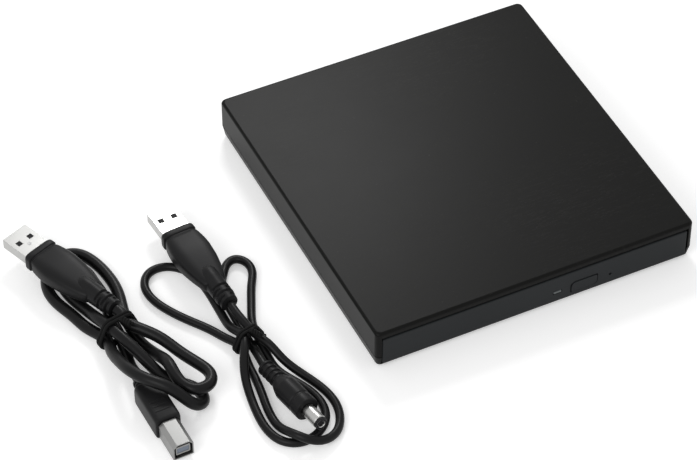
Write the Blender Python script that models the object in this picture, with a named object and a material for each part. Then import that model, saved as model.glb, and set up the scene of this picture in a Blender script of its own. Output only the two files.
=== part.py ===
"""Slim external optical drive with its data lead and its power lead.

The case is a flat two-shell box on four rubber feet.  Inside it sits a slim tray drive: a
sheet-metal chassis, telescopic rails, and a tray that carries the bezel, the spindle, the
optical sled and the latch.  A small interface board behind the drive holds the two sockets.
The two leads lie tied in loops beside the case.

Frame: metres, +Z up, the front faces -Y.  The origin is the middle of the case's footprint,
on the surface that the feet stand on.
"""
import math

import bmesh
import bpy
import numpy as np
from mathutils import Matrix, Vector

MM = 0.001

# Fits and resolution
TOUCH = 0.3 * MM            # clearance between pieces that rest on each other
RUN = 0.4 * MM              # clearance round pieces that slide or turn
OVERRUN = 1.0 * MM          # how far a cutter passes the face that it cuts
ROUND = 24                  # sides of small round pieces
FINE_ROUND = 64             # sides of the disc well
CORNER_STEPS = 4            # steps in a quarter-round corner

# Case
CASE_WIDTH = 140.0 * MM
CASE_DEPTH = 147.0 * MM
CASE_HEIGHT = 18.4 * MM
FOOT_HEIGHT = 0.8 * MM      # what the feet lift the case by
PARTING_HEIGHT = 5.2 * MM   # height of the seam above the underside
SEAM = 0.35 * MM
SIDE_WALL = 2.3 * MM
TOP_WALL = 1.6 * MM
FLOOR_WALL = 1.1 * MM
LIP_HEIGHT = 2.7 * MM       # the brow over the tray's mouth
LIP_DEPTH = 2.4 * MM
CORNER_RADIUS = 2.2 * MM
TOP_FILLET = 1.2 * MM
UNDER_FILLET = 0.8 * MM
UNDER_TAPER = 0.7 * MM      # how far the lower shell draws in to its underside

# Feet and case screws
FOOT_RADIUS = 4.0 * MM
FOOT_SINK = 0.3 * MM
FOOT_INSET = 12.0 * MM
SCREW_SHANK_RADIUS = 1.0 * MM
SCREW_HEAD_RADIUS = 1.9 * MM
SCREW_HEAD_HEIGHT = 1.2 * MM
SCREW_LENGTH = 8.0 * MM
SCREW_SLOT_DEPTH = 0.6 * MM
SCREW_SLOT_WIDTH = 0.5 * MM
BOSS_WALL = 1.2 * MM
BOSS_INSET = 6.4 * MM       # from the case's side and back to a screw's axis
COUNTERBORE_DEPTH = 1.9 * MM

# Slim drive inside the case
SIDE_ROOM = 3.7 * MM        # between the drive and each side wall
REAR_ROOM = 15.2 * MM       # behind the drive, for the bridge board
DRIVE_HEIGHT = 12.7 * MM
SHEET = 0.8 * MM
PAN_WINDOW_LENGTH = 34.0 * MM
PAN_WINDOW_WIDTH = 16.0 * MM
LID_EMBOSS_RADIUS = 30.0 * MM
LID_EMBOSS_DEPTH = 0.35 * MM
LID_EMBOSS_WIDTH = 4.0 * MM

# Telescopic rails
RAIL_LENGTH = 110.0 * MM
GUIDE_LENGTH = 118.0 * MM
GUIDE_HEIGHT = 6.0 * MM
GUIDE_DEPTH = 2.4 * MM
GUIDE_BACK = 0.8 * MM
RAIL_DEPTH = 1.8 * MM
RAIL_BACK = 0.6 * MM
TONGUE_ENGAGE = 0.9 * MM

# Tray
BEZEL_THICK = 5.0 * MM
BEZEL_HEIGHT = 12.9 * MM
BEZEL_RADIUS = 0.6 * MM
BEZEL_RECESS = 0.1 * MM
BEZEL_SIDE_GAP = 0.4 * MM
TRAY_WALL = 1.7 * MM
TRAY_FLOOR = 1.4 * MM
TRAY_REAR_ROOM = 6.1 * MM   # tray's back to the drive's back
TRAY_LIFT = 1.7 * MM        # tray's lower edge above the drive's underside
RIM_HEIGHT = 2.5 * MM       # tray's rim above the floor of the disc well
DISC_DIAMETER = 120.0 * MM
DISC_THICKNESS = 1.2 * MM
DISC_PLAY = 0.75 * MM       # radial play of the disc in its well
DISC_RIM = 1.85 * MM        # tray's front edge to the disc's well
FLOAT_HEIGHT = 0.35 * MM    # clamped disc above the floor of its well
HEAD_ROOM = 4.2 * MM        # floor of the well to the underside of the chassis lid
TRAY_TRAVEL = 130.0 * MM
RAIL_TRAVEL_SHARE = 0.5
FINGER_RADIUS = 11.0 * MM   # scallops in the rim that free the disc's edge

# Mechanism under the tray, in its own axes: +X runs outwards along the sled's travel
MECHANISM_TURN = math.radians(-45.0)
PLATE_THICK = 0.7 * MM
PLATE_INNER_REACH = 20.0 * MM
PLATE_OUTER_REACH = 61.0 * MM
PLATE_NEAR_SIDE = 21.5 * MM     # the side that carries the lead screw
PLATE_FAR_SIDE = 19.0 * MM
PLATE_LIFT = 1.4 * MM           # plate above the drive's underside
SPINDLE_WINDOW_RADIUS = 15.3 * MM
SLED_WINDOW_WIDTH = 27.0 * MM
PLATE_END_BAR = 1.0 * MM     # plate left beyond the sled's window
COVER_THICK = 0.7 * MM
COVER_INNER_REACH = 18.0 * MM
COVER_SIDE = 18.0 * MM
COVER_RADIUS = 6.0 * MM
COVER_POST_RADIUS = 1.2 * MM
LENS_SLOT_WIDTH = 13.0 * MM
LENS_SLOT_START = 17.5 * MM
LENS_SLOT_END = 59.0 * MM
DAMPER_RADIUS = 3.0 * MM
DAMPER_WAIST_SHARE = 0.7
DAMPER_INNER_X = 16.0 * MM
DAMPER_NEAR_Y = 15.0 * MM
DAMPER_FAR_Y = 14.0 * MM
DAMPER_EAR_X = 26.0 * MM
MOTOR_RADIUS = 11.0 * MM
MOTOR_HEIGHT = 1.6 * MM
ROTOR_RADIUS = 12.0 * MM
ROTOR_HEIGHT = 1.4 * MM
SPINDLE_NECK_RADIUS = 6.0 * MM
TABLE_RADIUS = 14.5 * MM
TABLE_THICK = 1.0 * MM
HUB_RADIUS = 7.2 * MM
HUB_HEIGHT = 2.5 * MM
HUB_BEVEL = 0.8 * MM
CLAW_COUNT = 3
CLAW_WIDTH = 2.4 * MM
CLAW_HEIGHT = 1.0 * MM
CLAW_REACH = 0.25 * MM
CLAMP_RADIUS = 4.4 * MM
CLAMP_DEPTH = 1.3 * MM
ROD_RADIUS = 1.0 * MM
ROD_START = 12.5 * MM
ROD_END_INSET = 2.0 * MM     # rods end short of the plate's outer edge
ROD_REST = 1.5 * MM
ROD_SIDE = 15.0 * MM
SCREW_SIDE = 19.0 * MM
LEAD_SCREW_RADIUS = 1.2 * MM
LEAD_SCREW_ROOT = 0.9 * MM
LEAD_SCREW_PITCH = 3.0 * MM
SLED_MOTOR_RADIUS = 1.8 * MM
SLED_MOTOR_LENGTH = 11.0 * MM
LENS_START = 23.0 * MM          # lens from the spindle's axis, innermost
SLED_TRAVEL = 32.0 * MM
SLED_BACK = 9.0 * MM            # sled behind and ahead of its lens
SLED_FRONT = 4.0 * MM
SLED_HEIGHT = 2.6 * MM
SLED_NECK_WIDTH = 24.0 * MM
HOLDER_LENGTH = 7.0 * MM
HOLDER_WIDTH = 10.0 * MM
HOLDER_HEIGHT = 1.3 * MM
HOLDER_GAP = 0.6 * MM           # room under the holder for its focus stroke
FOCUS_TRAVEL = 0.4 * MM
LENS_RADIUS = 2.0 * MM
LENS_HEIGHT = 0.8 * MM
LENS_SEAT = 0.7 * MM

# Tray electronics and latch
TRAY_BOARD_WIDTH = 88.0 * MM
TRAY_BOARD_DEPTH = 19.0 * MM
TRAY_BOARD_RIGHT = 54.0 * MM
TRAY_BOARD_INSET = 3.9 * MM # board's back edge from the tray's back
BOARD_THICK = 0.8 * MM
BOARD_DROP = 2.4 * MM           # board's top below the tray's floor
BOARD_POST_RADIUS = 1.6 * MM
CHIP_SIZE = 10.0 * MM
CHIP_HEIGHT = 1.2 * MM
LATCH_X = -43.0 * MM            # catch pin from the middle of the drive
LATCH_SETBACK = 11.5 * MM       # catch pin behind the bezel's back
CATCH_RADIUS = 1.3 * MM
CATCH_HEIGHT = 3.2 * MM
LATCH_ARM = 9.0 * MM            # pivot to catch pin, along the drive
LATCH_OFFSET = 3.9 * MM         # pivot to catch pin, across the drive
LATCH_BITE = 0.9 * MM           # how far the hook reaches behind the pin
LATCH_WIDTH = 2.6 * MM
LATCH_THICK = 1.2 * MM
LATCH_SWING = math.radians(14.0)
PIVOT_RADIUS = 1.1 * MM
SOLENOID_LENGTH = 12.0 * MM
SOLENOID_WIDTH = 7.0 * MM
SOLENOID_HEIGHT = 3.6 * MM

# Front controls, measured from the middle and the underside of the case
BUTTON_X = 21.05 * MM
BUTTON_HEIGHT_UP = 6.0 * MM
BUTTON_WIDTH = 11.4 * MM
BUTTON_HEIGHT = 4.9 * MM
BUTTON_GAP = 0.4 * MM
BUTTON_LARGE_RADIUS = 2.1 * MM
BUTTON_SMALL_RADIUS = 0.6 * MM
BUTTON_FLANGE = 0.9 * MM
BUTTON_FLANGE_THICK = 1.0 * MM
BUTTON_TRAVEL = 0.6 * MM
STEM_RADIUS = 0.9 * MM
BEZEL_SKIN = 2.0 * MM           # bezel's wall in front of the button's pocket
BUTTON_PROUD = 0.25 * MM
SWITCH_SIZE = 2.8 * MM
SWITCH_DEPTH = 2.2 * MM
LAMP_X = 9.15 * MM
LAMP_HEIGHT_UP = 6.2 * MM
LAMP_WIDTH = 3.4 * MM
LAMP_HEIGHT = 0.9 * MM
PINHOLE_X = 32.8 * MM
PINHOLE_HEIGHT_UP = 5.8 * MM
PINHOLE_RADIUS = 0.65 * MM

# Interface board and sockets in the rear bay
BRIDGE_WIDTH = 78.0 * MM
BRIDGE_DEPTH = 12.6 * MM
BRIDGE_X = 14.0 * MM
BRIDGE_LIFT = 1.3 * MM          # board above the case floor
USB_SOCKET_X = 22.0 * MM
USB_SOCKET_WIDTH = 12.0 * MM
USB_SOCKET_HEIGHT = 10.8 * MM
USB_SOCKET_DEPTH = 14.4 * MM
USB_MOUTH_WIDTH = 8.5 * MM
USB_MOUTH_HEIGHT = 7.8 * MM
USB_MOUTH_CHAMFER = 1.6 * MM
USB_MOUTH_DEPTH = 12.0 * MM
USB_TONGUE_WIDTH = 5.6 * MM
USB_TONGUE_HEIGHT = 3.2 * MM
USB_TONGUE_RECESS = 4.6 * MM
JACK_X = 40.0 * MM
JACK_WIDTH = 9.0 * MM
JACK_HEIGHT = 10.8 * MM
JACK_DEPTH = 13.6 * MM
JACK_BORE_RADIUS = 3.2 * MM
JACK_PIN_RADIUS = 1.0 * MM
JACK_PIN_LENGTH = 7.0 * MM
JACK_PIN_RECESS = 4.6 * MM
CONNECTOR_WIDTH = 36.0 * MM
CONNECTOR_DEPTH = 5.0 * MM
CONNECTOR_HEIGHT = 3.4 * MM
CONNECTOR_X = -2.0 * MM
CRYSTAL_LENGTH = 10.0 * MM
CRYSTAL_WIDTH = 4.0 * MM
RIBBON_WIDTH = 16.0 * MM
RIBBON_LENGTH = 60.0 * MM
RIBBON_THICK = 0.15 * MM
RIBBON_X = 30.0 * MM

# Leads: plugs
PLUG_SHELL_WIDTH = 12.0 * MM
PLUG_SHELL_HEIGHT = 4.5 * MM
PLUG_SHELL_LENGTH = 13.6 * MM
PLUG_SHELL_WALL = 0.4 * MM
PLUG_POCKET_DEPTH = 9.0 * MM
PLUG_WINDOW = 2.2 * MM
PLUG_WINDOW_SETBACK = 5.2 * MM
PLUG_WINDOW_SIDE = 2.9 * MM
PLUG_WINDOW_DEPTH = 0.35 * MM
PLUG_GRIP_LENGTH = 44.5 * MM        # collar, body and strain relief together
PLUG_GRIP_WIDTH = 16.4 * MM
PLUG_GRIP_HEIGHT = 8.6 * MM
PLUG_RELIEF_RADIUS = 4.1 * MM
SQUARE_PLUG_WIDTH = 8.4 * MM
SQUARE_PLUG_HEIGHT = 7.8 * MM
SQUARE_PLUG_LENGTH = 13.0 * MM
SQUARE_PLUG_CHAMFER = 1.6 * MM
SQUARE_PLUG_WALL = 0.5 * MM
SQUARE_PLUG_POCKET = 8.0 * MM
SQUARE_CORE_WIDTH = 5.9 * MM
SQUARE_CORE_HEIGHT = 4.2 * MM
SQUARE_SLOT_HEIGHT = 2.6 * MM
SQUARE_GRIP_LENGTH = 26.0 * MM
SQUARE_GRIP_WIDTH = 10.6 * MM
SQUARE_GRIP_HEIGHT = 10.2 * MM
BARREL_RADIUS = 2.75 * MM
BARREL_BORE_RADIUS = 1.25 * MM
BARREL_LENGTH = 9.5 * MM
BARREL_BORE_DEPTH = 8.0 * MM
BARREL_RING = 1.6 * MM
BARREL_GRIP_LENGTH = 28.5 * MM
BARREL_GRIP_RADIUS = 5.0 * MM
BARREL_RELIEF_RADIUS = 3.3 * MM

# Leads: cords and ties
DATA_CORD_DIAMETER = 4.8 * MM
POWER_CORD_DIAMETER = 3.5 * MM
CORD_SIDE_STEPS = 2                 # bevel resolution of a cord: eight sides
CORD_STEP_SHARE = 1.6               # spacing of a cord's rings, in diameters
CORD_RING_LIMIT = 80
TIE_WIDTH = 2.6 * MM
TIE_THICK = 1.0 * MM

# Leads: where the plugs lie, and the cords' routes chosen by hand, in millimetres
DATA_PLUG_AT = (-151.2, -8.5, 9.8)
DATA_PLUG_HEADING = math.radians(111.0)
SQUARE_PLUG_AT = (-155.9, -43.2, 5.4)
SQUARE_PLUG_HEADING = math.radians(-88.5)
POWER_PLUG_AT = (-109.4, -24.2, 8.3)
POWER_PLUG_HEADING = math.radians(94.6)
BARREL_PLUG_AT = (-109.9, -57.6, 5.3)
BARREL_PLUG_HEADING = math.radians(-80.4)
BARREL_PLUG_PITCH = math.radians(3.4)
DATA_TIE_AT = (-153.4, -15.9, 6.9)
DATA_TIE_HALF = (8.6, 5.8)
DATA_TIE_HEADING = math.radians(-82.0)
POWER_TIE_AT = (-109.3, -41.0, 5.3)
POWER_TIE_HALF = (6.8, 4.2)
POWER_TIE_HEADING = math.radians(-78.5)

DATA_ROUTE = (
    (-151.0, -8.95, 9.8), (-150.3, -11.0, 9.8), (-149.9, -15.4, 9.3), (-146.7, -21.0, 8.9),
    (-141.4, -28.0, 8.2), (-136.8, -37.5, 7.0), (-132.6, -46.8, 7.0), (-131.0, -53.6, 7.4),
    (-134.0, -58.8, 8.2), (-139.8, -59.2, 8.9), (-143.6, -53.0, 9.4), (-143.9, -43.8, 9.7),
    (-144.5, -35.5, 6.2), (-145.9, -28.0, 3.3), (-147.4, -21.5, 2.9), (-148.0, -15.2, 3.9),
    (-146.9, -5.0, 2.8), (-144.7, 6.0, 2.6), (-144.8, 16.0, 2.6), (-147.0, 25.6, 2.6),
    (-152.2, 33.0, 2.6), (-159.2, 33.6, 2.6), (-165.2, 28.6, 2.6), (-168.8, 20.5, 2.6),
    (-168.4, 11.0, 2.6), (-165.6, 2.5, 2.6), (-162.9, -6.5, 2.7), (-158.9, -16.6, 3.9),
    (-159.9, -24.5, 6.0), (-160.5, -34.5, 10.0), (-159.4, -44.0, 13.3), (-155.8, -51.6, 14.5),
    (-150.4, -57.6, 13.7), (-145.6, -61.8, 9.6), (-141.2, -63.6, 5.2), (-137.4, -61.2, 3.0),
    (-136.8, -55.6, 2.6), (-140.4, -50.2, 2.8), (-145.6, -45.2, 3.6), (-149.5, -38.0, 6.2),
    (-153.3, -27.0, 9.0), (-156.5, -16.4, 9.1), (-158.8, -7.0, 7.0), (-160.0, 2.0, 3.6),
    (-162.0, 10.0, 2.6), (-163.0, 17.0, 2.6), (-161.4, 23.6, 2.6), (-157.2, 26.0, 2.6),
    (-152.9, 23.6, 2.6), (-151.2, 16.0, 2.6), (-150.7, 5.0, 2.6), (-152.8, -5.5, 2.8),
    (-153.4, -15.9, 3.9), (-154.6, -26.0, 2.9), (-155.7, -34.0, 3.4), (-155.9, -39.0, 5.1),
    (-155.9, -42.4, 5.4),
)
POWER_ROUTE = (
    (-109.4, -24.55, 8.3), (-109.2, -29.0, 8.2), (-108.3, -35.0, 7.8), (-107.2, -40.6, 7.2),
    (-104.2, -48.5, 6.8), (-101.8, -55.5, 4.4), (-97.4, -65.0, 2.4), (-93.4, -74.5, 1.8),
    (-92.2, -83.5, 1.8), (-94.0, -91.0, 1.8), (-98.2, -96.6, 2.0), (-103.6, -99.0, 2.9),
    (-109.2, -98.6, 4.9), (-113.4, -95.2, 6.0), (-115.8, -90.0, 4.5), (-116.9, -84.0, 2.2),
    (-116.9, -76.5, 1.8), (-115.6, -67.5, 1.8), (-114.5, -58.5, 1.8), (-113.9, -50.0, 2.2),
    (-113.4, -41.9, 3.2), (-116.1, -35.0, 2.2), (-119.6, -28.0, 1.8), (-125.0, -19.9, 1.8),
    (-130.8, -10.2, 1.8), (-133.9, -1.0, 1.8), (-133.3, 6.0, 1.8), (-129.4, 10.8, 1.8),
    (-123.4, 11.6, 1.8), (-117.8, 8.4, 1.8), (-114.0, 2.5, 1.8), (-112.5, -5.0, 1.8),
    (-112.3, -14.0, 1.9), (-112.6, -24.0, 2.15), (-112.7, -33.5, 4.7), (-111.5, -41.4, 7.2),
    (-115.0, -49.5, 6.6), (-118.3, -57.5, 3.7), (-120.1, -66.5, 2.0), (-121.3, -76.0, 1.8),
    (-121.1, -85.0, 1.8), (-118.6, -91.4, 1.8), (-113.6, -95.0, 1.8), (-108.0, -95.2, 1.8),
    (-103.0, -92.9, 1.8), (-98.9, -88.6, 1.8), (-97.0, -82.0, 1.8), (-98.2, -74.0, 1.8),
    (-101.8, -66.0, 1.8), (-105.3, -57.0, 1.9), (-105.5, -48.5, 2.7), (-105.1, -40.2, 3.2),
    (-103.8, -32.5, 2.3), (-99.6, -22.0, 1.8), (-94.9, -12.0, 1.8), (-91.9, -5.6, 1.8),
    (-92.7, 0.6, 1.8), (-95.7, 3.0, 1.8), (-99.4, 1.8, 1.8), (-102.4, -1.8, 1.8), (-105.4, -6.5, 1.8),
    (-107.8, -14.0, 1.8), (-108.4, -24.0, 1.9), (-109.0, -34.0, 2.5), (-109.2, -41.0, 3.2),
    (-109.5, -49.5, 4.5), (-109.9, -57.2, 5.3),
)

# Places worked out from the sizes above
CASE_UNDER = FOOT_HEIGHT
CASE_TOP = CASE_UNDER + CASE_HEIGHT
CASE_FRONT = -CASE_DEPTH / 2
CASE_BACK = CASE_DEPTH / 2
SEAM_Z = CASE_UNDER + PARTING_HEIGHT
INSIDE_X = CASE_WIDTH / 2 - SIDE_WALL
INSIDE_BACK = CASE_BACK - SIDE_WALL
INSIDE_TOP = CASE_TOP - TOP_WALL
FLOOR_TOP = CASE_UNDER + FLOOR_WALL
LIP_UNDER = CASE_TOP - LIP_HEIGHT
BEZEL_FRONT = CASE_FRONT + BEZEL_RECESS
BEZEL_BACK = BEZEL_FRONT + BEZEL_THICK
DRIVE_UNDER = FLOOR_TOP + TOUCH
DRIVE_TOP = DRIVE_UNDER + DRIVE_HEIGHT
DRIVE_FRONT = BEZEL_BACK + RUN
DRIVE_BACK = INSIDE_BACK - REAR_ROOM
DRIVE_WIDTH = 2 * (INSIDE_X - SIDE_ROOM)
PAN_FLOOR = DRIVE_UNDER + SHEET
PAN_INSIDE = DRIVE_WIDTH / 2 - SHEET
LID_UNDER = DRIVE_TOP - SHEET
WELL_RADIUS = DISC_DIAMETER / 2 + DISC_PLAY
WELL_FLOOR = LID_UNDER - HEAD_ROOM
TRAY_FLOOR_UNDER = WELL_FLOOR - TRAY_FLOOR
TRAY_UNDER = DRIVE_UNDER + TRAY_LIFT
RIM_TOP = WELL_FLOOR + RIM_HEIGHT
GUIDE_OUTER = PAN_INSIDE - TOUCH
GUIDE_INNER = GUIDE_OUTER - GUIDE_DEPTH
GUIDE_BASE = PAN_FLOOR + TOUCH
RAIL_OUTER = GUIDE_OUTER - GUIDE_BACK - RUN
RAIL_INNER = RAIL_OUTER - RAIL_DEPTH
RAIL_BASE = GUIDE_BASE + GUIDE_BACK + RUN
RAIL_HEIGHT = GUIDE_HEIGHT - 2 * (GUIDE_BACK + RUN)
TONGUE_BASE = RAIL_BASE + RAIL_BACK + RUN
TONGUE_HEIGHT = RAIL_HEIGHT - 2 * (RAIL_BACK + RUN)
TONGUE_OUTER = RAIL_INNER + TONGUE_ENGAGE
HULL_X = RAIL_INNER - RUN
RIM_X = PAN_INSIDE - RUN
TRAY_FRONT = BEZEL_BACK + TOUCH
TRAY_BACK = DRIVE_BACK - TRAY_REAR_ROOM
TRAY_BOARD_BACK = TRAY_BACK - TRAY_BOARD_INSET
DISC_Y = TRAY_FRONT + DISC_RIM + WELL_RADIUS
COVER_OUTER_REACH = LENS_START + SLED_TRAVEL + HOLDER_LENGTH / 2 + RUN
RAIL_FRONT = TRAY_FRONT + TRAY_WALL
SLED_WINDOW_END = PLATE_OUTER_REACH - PLATE_END_BAR
ROD_END = PLATE_OUTER_REACH - ROD_END_INSET
PLATE_LOW = PLATE_LIFT
PLATE_HIGH = PLATE_LOW + PLATE_THICK
COVER_HIGH = WELL_FLOOR - DRIVE_UNDER
COVER_LOW = COVER_HIGH - COVER_THICK
TABLE_TOP = COVER_HIGH + FLOAT_HEIGHT
BUTTON_Z = CASE_UNDER + BUTTON_HEIGHT_UP
LAMP_Z = CASE_UNDER + LAMP_HEIGHT_UP
PINHOLE_Z = CASE_UNDER + PINHOLE_HEIGHT_UP
BEZEL_UNDER = FLOOR_TOP + RUN
BRIDGE_Y = INSIDE_BACK - TOUCH - BRIDGE_DEPTH / 2
BRIDGE_LOW = FLOOR_TOP + BRIDGE_LIFT
BRIDGE_HIGH = BRIDGE_LOW + BOARD_THICK
SOCKET_BASE = BRIDGE_HIGH + TOUCH
LATCH_Y = BEZEL_BACK + LATCH_SETBACK


def clear_scene():
    """Remove every object that the file holds."""
    for thing in list(bpy.data.objects):
        bpy.data.objects.remove(thing, do_unlink=True)


def finish(name, colour, roughness, metallic=0.0):
    """Make a plain material."""
    made = bpy.data.materials.new(name)
    made.use_nodes = True
    shader = made.node_tree.nodes["Principled BSDF"]
    shader.inputs["Base Color"].default_value = (*colour, 1.0)
    shader.inputs["Roughness"].default_value = roughness
    shader.inputs["Metallic"].default_value = metallic
    made.diffuse_color = (*colour, 1.0)
    return made


def make_finishes():
    """Every material of the drive and its leads, by name."""
    return {
        "shell": finish("matte_black_shell", (0.030, 0.030, 0.028), 0.55),
        "bezel": finish("bezel_black", (0.028, 0.030, 0.033), 0.42),
        "sheet": finish("zinc_sheet", (0.55, 0.56, 0.57), 0.38, 1.0),
        "steel": finish("bright_steel", (0.70, 0.70, 0.70), 0.22, 1.0),
        "plastic": finish("tray_black", (0.035, 0.035, 0.037), 0.50),
        "rubber": finish("rubber_black", (0.020, 0.020, 0.020), 0.80),
        "board": finish("board_green", (0.015, 0.110, 0.050), 0.45),
        "chip": finish("chip_black", (0.020, 0.020, 0.022), 0.40),
        "lamp": finish("lamp_clear", (0.75, 0.80, 0.78), 0.15),
        "glass": finish("lens_blue", (0.20, 0.28, 0.42), 0.05),
        "brass": finish("brass", (0.75, 0.56, 0.24), 0.28, 1.0),
        "ivory": finish("ivory_plastic", (0.72, 0.70, 0.64), 0.50),
        "film": finish("ribbon_film", (0.78, 0.78, 0.74), 0.40),
        "cord": finish("cord_black", (0.022, 0.022, 0.023), 0.42),
    }


def mesh_of(work, name="shape"):
    """Close off a bmesh as a mesh whose faces point outwards."""
    bmesh.ops.recalc_face_normals(work, faces=work.faces)
    made = bpy.data.meshes.new(name)
    work.to_mesh(made)
    work.free()
    return made


def stack(rings):
    """A solid through rings of equal count, with its first and last ring capped."""
    work = bmesh.new()
    rows = [[work.verts.new(point) for point in ring] for ring in rings]
    for lower, upper in zip(rows, rows[1:]):
        for here in range(len(lower)):
            there = (here + 1) % len(lower)
            work.faces.new((lower[here], lower[there], upper[there], upper[here]))
    work.faces.new(rows[0])
    work.faces.new(rows[-1])
    return mesh_of(work)


def prism(outline, low, high):
    """An outline in X and Y, carried from one height to another."""
    return stack([[(x, y, z) for x, y in outline] for z in (low, high)])


def block(x_span, y_span, z_span):
    """A plain box."""
    (left, right), (front, back) = x_span, y_span
    return prism([(left, front), (right, front), (right, back), (left, back)], *z_span)


def corners(x_span, y_span, radii, steps=CORNER_STEPS):
    """A rectangle's outline with one radius per corner, from front left, anticlockwise."""
    (left, right), (front, back) = x_span, y_span
    places = ((left, front, 1, 1), (right, front, -1, 1), (right, back, -1, -1), (left, back, 1, -1))
    outline = []
    for turn, ((x, y, inward_x, inward_y), radius) in enumerate(zip(places, radii)):
        middle = (x + inward_x * radius, y + inward_y * radius)
        for step in range(steps + 1):
            angle = math.pi * (1 + turn / 2 + step / steps / 2)
            outline.append((middle[0] + radius * math.cos(angle), middle[1] + radius * math.sin(angle)))
    return outline


def rounded(x_span, y_span, radius, steps=CORNER_STEPS):
    """A rectangle's outline with four equal corners."""
    return corners(x_span, y_span, (radius,) * 4, steps)


def ring(radius, middle=(0.0, 0.0), sides=ROUND):
    """A circle's outline."""
    return [(middle[0] + radius * math.cos(math.tau * side / sides),
             middle[1] + radius * math.sin(math.tau * side / sides)) for side in range(sides)]


def turned(profile, middle=(0.0, 0.0), sides=ROUND):
    """A solid of revolution about a vertical axis, from its radii and heights upwards."""
    return stack([[(x, y, z) for x, y in ring(radius, middle, sides)] for radius, z in profile])


def round_post(radius, low, high, middle=(0.0, 0.0), sides=ROUND):
    """A plain vertical cylinder."""
    return turned(((radius, low), (radius, high)), middle, sides)


def moved(shape, offset=(0.0, 0.0, 0.0), turn=None):
    """Turn a mesh, then move it."""
    shape.transform(Matrix.Translation(offset) @ (turn or Matrix.Identity(4)))
    return shape


def along_x(shape, offset=(0.0, 0.0, 0.0)):
    """Lay a mesh that stands on +Z down along +X."""
    return moved(shape, offset, Matrix.Rotation(math.pi / 2, 4, "Y"))


def along_y(shape, offset=(0.0, 0.0, 0.0)):
    """Lay a mesh that stands on +Z down along +Y."""
    return moved(shape, offset, Matrix.Rotation(-math.pi / 2, 4, "X"))


def combine(base, tools, operation):
    """Cut every tool out of a mesh, or join every tool to it."""
    scene = bpy.context.scene
    holder = bpy.data.objects.new("work", base)
    scene.collection.objects.link(holder)
    helpers = []
    for tool in tools:
        helper = bpy.data.objects.new("tool", tool)
        scene.collection.objects.link(helper)
        step = holder.modifiers.new("step", "BOOLEAN")
        step.operation = operation
        step.solver = "EXACT"
        step.object = helper
        helpers.append(helper)
    bpy.context.view_layer.update()
    seen = holder.evaluated_get(bpy.context.evaluated_depsgraph_get())
    made = bpy.data.meshes.new_from_object(seen)
    for thing in (holder, *helpers):
        bpy.data.objects.remove(thing, do_unlink=True)
    return made


def cut(base, *tools):
    """The base with the tools' space taken out."""
    return combine(base, tools, "DIFFERENCE")


def fuse(base, *tools):
    """The base and the tools as one body."""
    return combine(base, tools, "UNION")


def piece(name, shape, surface, parent=None, at=(0.0, 0.0, 0.0)):
    """Put a mesh in the scene as one named sub-part."""
    shape.name = name
    shape.materials.clear()
    shape.materials.append(surface)
    shape.shade_smooth()
    shape.set_sharp_from_angle(angle=math.radians(35.0))
    made = bpy.data.objects.new(name, shape)
    bpy.context.scene.collection.objects.link(made)
    made.parent = parent
    made.location = at
    return made


def axis_at(name, at, turn=0.0, parent=None):
    """An empty that carries the pieces of one moving body."""
    made = bpy.data.objects.new(name, None)
    bpy.context.scene.collection.objects.link(made)
    made.parent = parent
    made.location = at
    made.rotation_euler = (0.0, 0.0, turn)
    return made


def case_ring(height, inset, radius):
    """The case's outline at one height, drawn in by an inset."""
    x_span = (inset - CASE_WIDTH / 2, CASE_WIDTH / 2 - inset)
    y_span = (CASE_FRONT + inset, CASE_BACK - inset)
    return [(x, y, height) for x, y in rounded(x_span, y_span, radius)]


def screw_places():
    """Left and right screw axes behind the drive."""
    return {side: (sign * (CASE_WIDTH / 2 - BOSS_INSET), CASE_BACK - BOSS_INSET)
            for side, sign in (("left", -1), ("right", 1))}


def socket_openings(low, high):
    """Cutters for the two sockets' openings in the back wall, between two heights."""
    spans = ((USB_SOCKET_X, USB_SOCKET_WIDTH, USB_SOCKET_HEIGHT), (JACK_X, JACK_WIDTH, JACK_HEIGHT))
    cutters = []
    for middle, width, height in spans:
        x_span = (middle - width / 2 - TOUCH, middle + width / 2 + TOUCH)
        z_span = (max(low, SOCKET_BASE - TOUCH), min(high, SOCKET_BASE + height + TOUCH))
        cutters.append(block(x_span, (INSIDE_BACK - OVERRUN, CASE_BACK + OVERRUN), z_span))
    return cutters


def make_top_cover(parent, surface):
    """Upper shell: a roof with a brow over the mouth, two sides, a back and two screw bosses."""
    fillet = [(CASE_TOP - TOP_FILLET * (1 - math.sin(step * math.pi / 2 / CORNER_STEPS)),
               TOP_FILLET * (1 - math.cos(step * math.pi / 2 / CORNER_STEPS)))
              for step in range(CORNER_STEPS + 1)]
    rings = [case_ring(SEAM_Z + SEAM / 2, 0.0, CORNER_RADIUS)]
    rings += [case_ring(height, inset, CORNER_RADIUS) for height, inset in fillet]
    inside = block((-INSIDE_X, INSIDE_X), (CASE_FRONT + LIP_DEPTH, INSIDE_BACK),
                   (CASE_UNDER, INSIDE_TOP))
    mouth = block((-INSIDE_X, INSIDE_X), (CASE_FRONT - OVERRUN, CASE_FRONT + LIP_DEPTH + OVERRUN),
                  (CASE_UNDER, LIP_UNDER))
    shape = cut(stack(rings), inside, mouth, *socket_openings(CASE_UNDER, CASE_TOP))
    bosses = []
    bores = []
    for middle in screw_places().values():
        radius = SCREW_SHANK_RADIUS + TOUCH + BOSS_WALL
        bosses.append(round_post(radius, SEAM_Z + SEAM, INSIDE_TOP + TOP_WALL / 2, middle))
        bores.append(round_post(SCREW_SHANK_RADIUS + TOUCH, SEAM_Z, screw_top() + TOUCH, middle))
    return piece("top_cover", cut(fuse(shape, *bosses), *bores), surface, parent)


def screw_top():
    """Height of the case screws' tips."""
    return CASE_UNDER + COUNTERBORE_DEPTH - SCREW_HEAD_HEIGHT + SCREW_LENGTH


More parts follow.
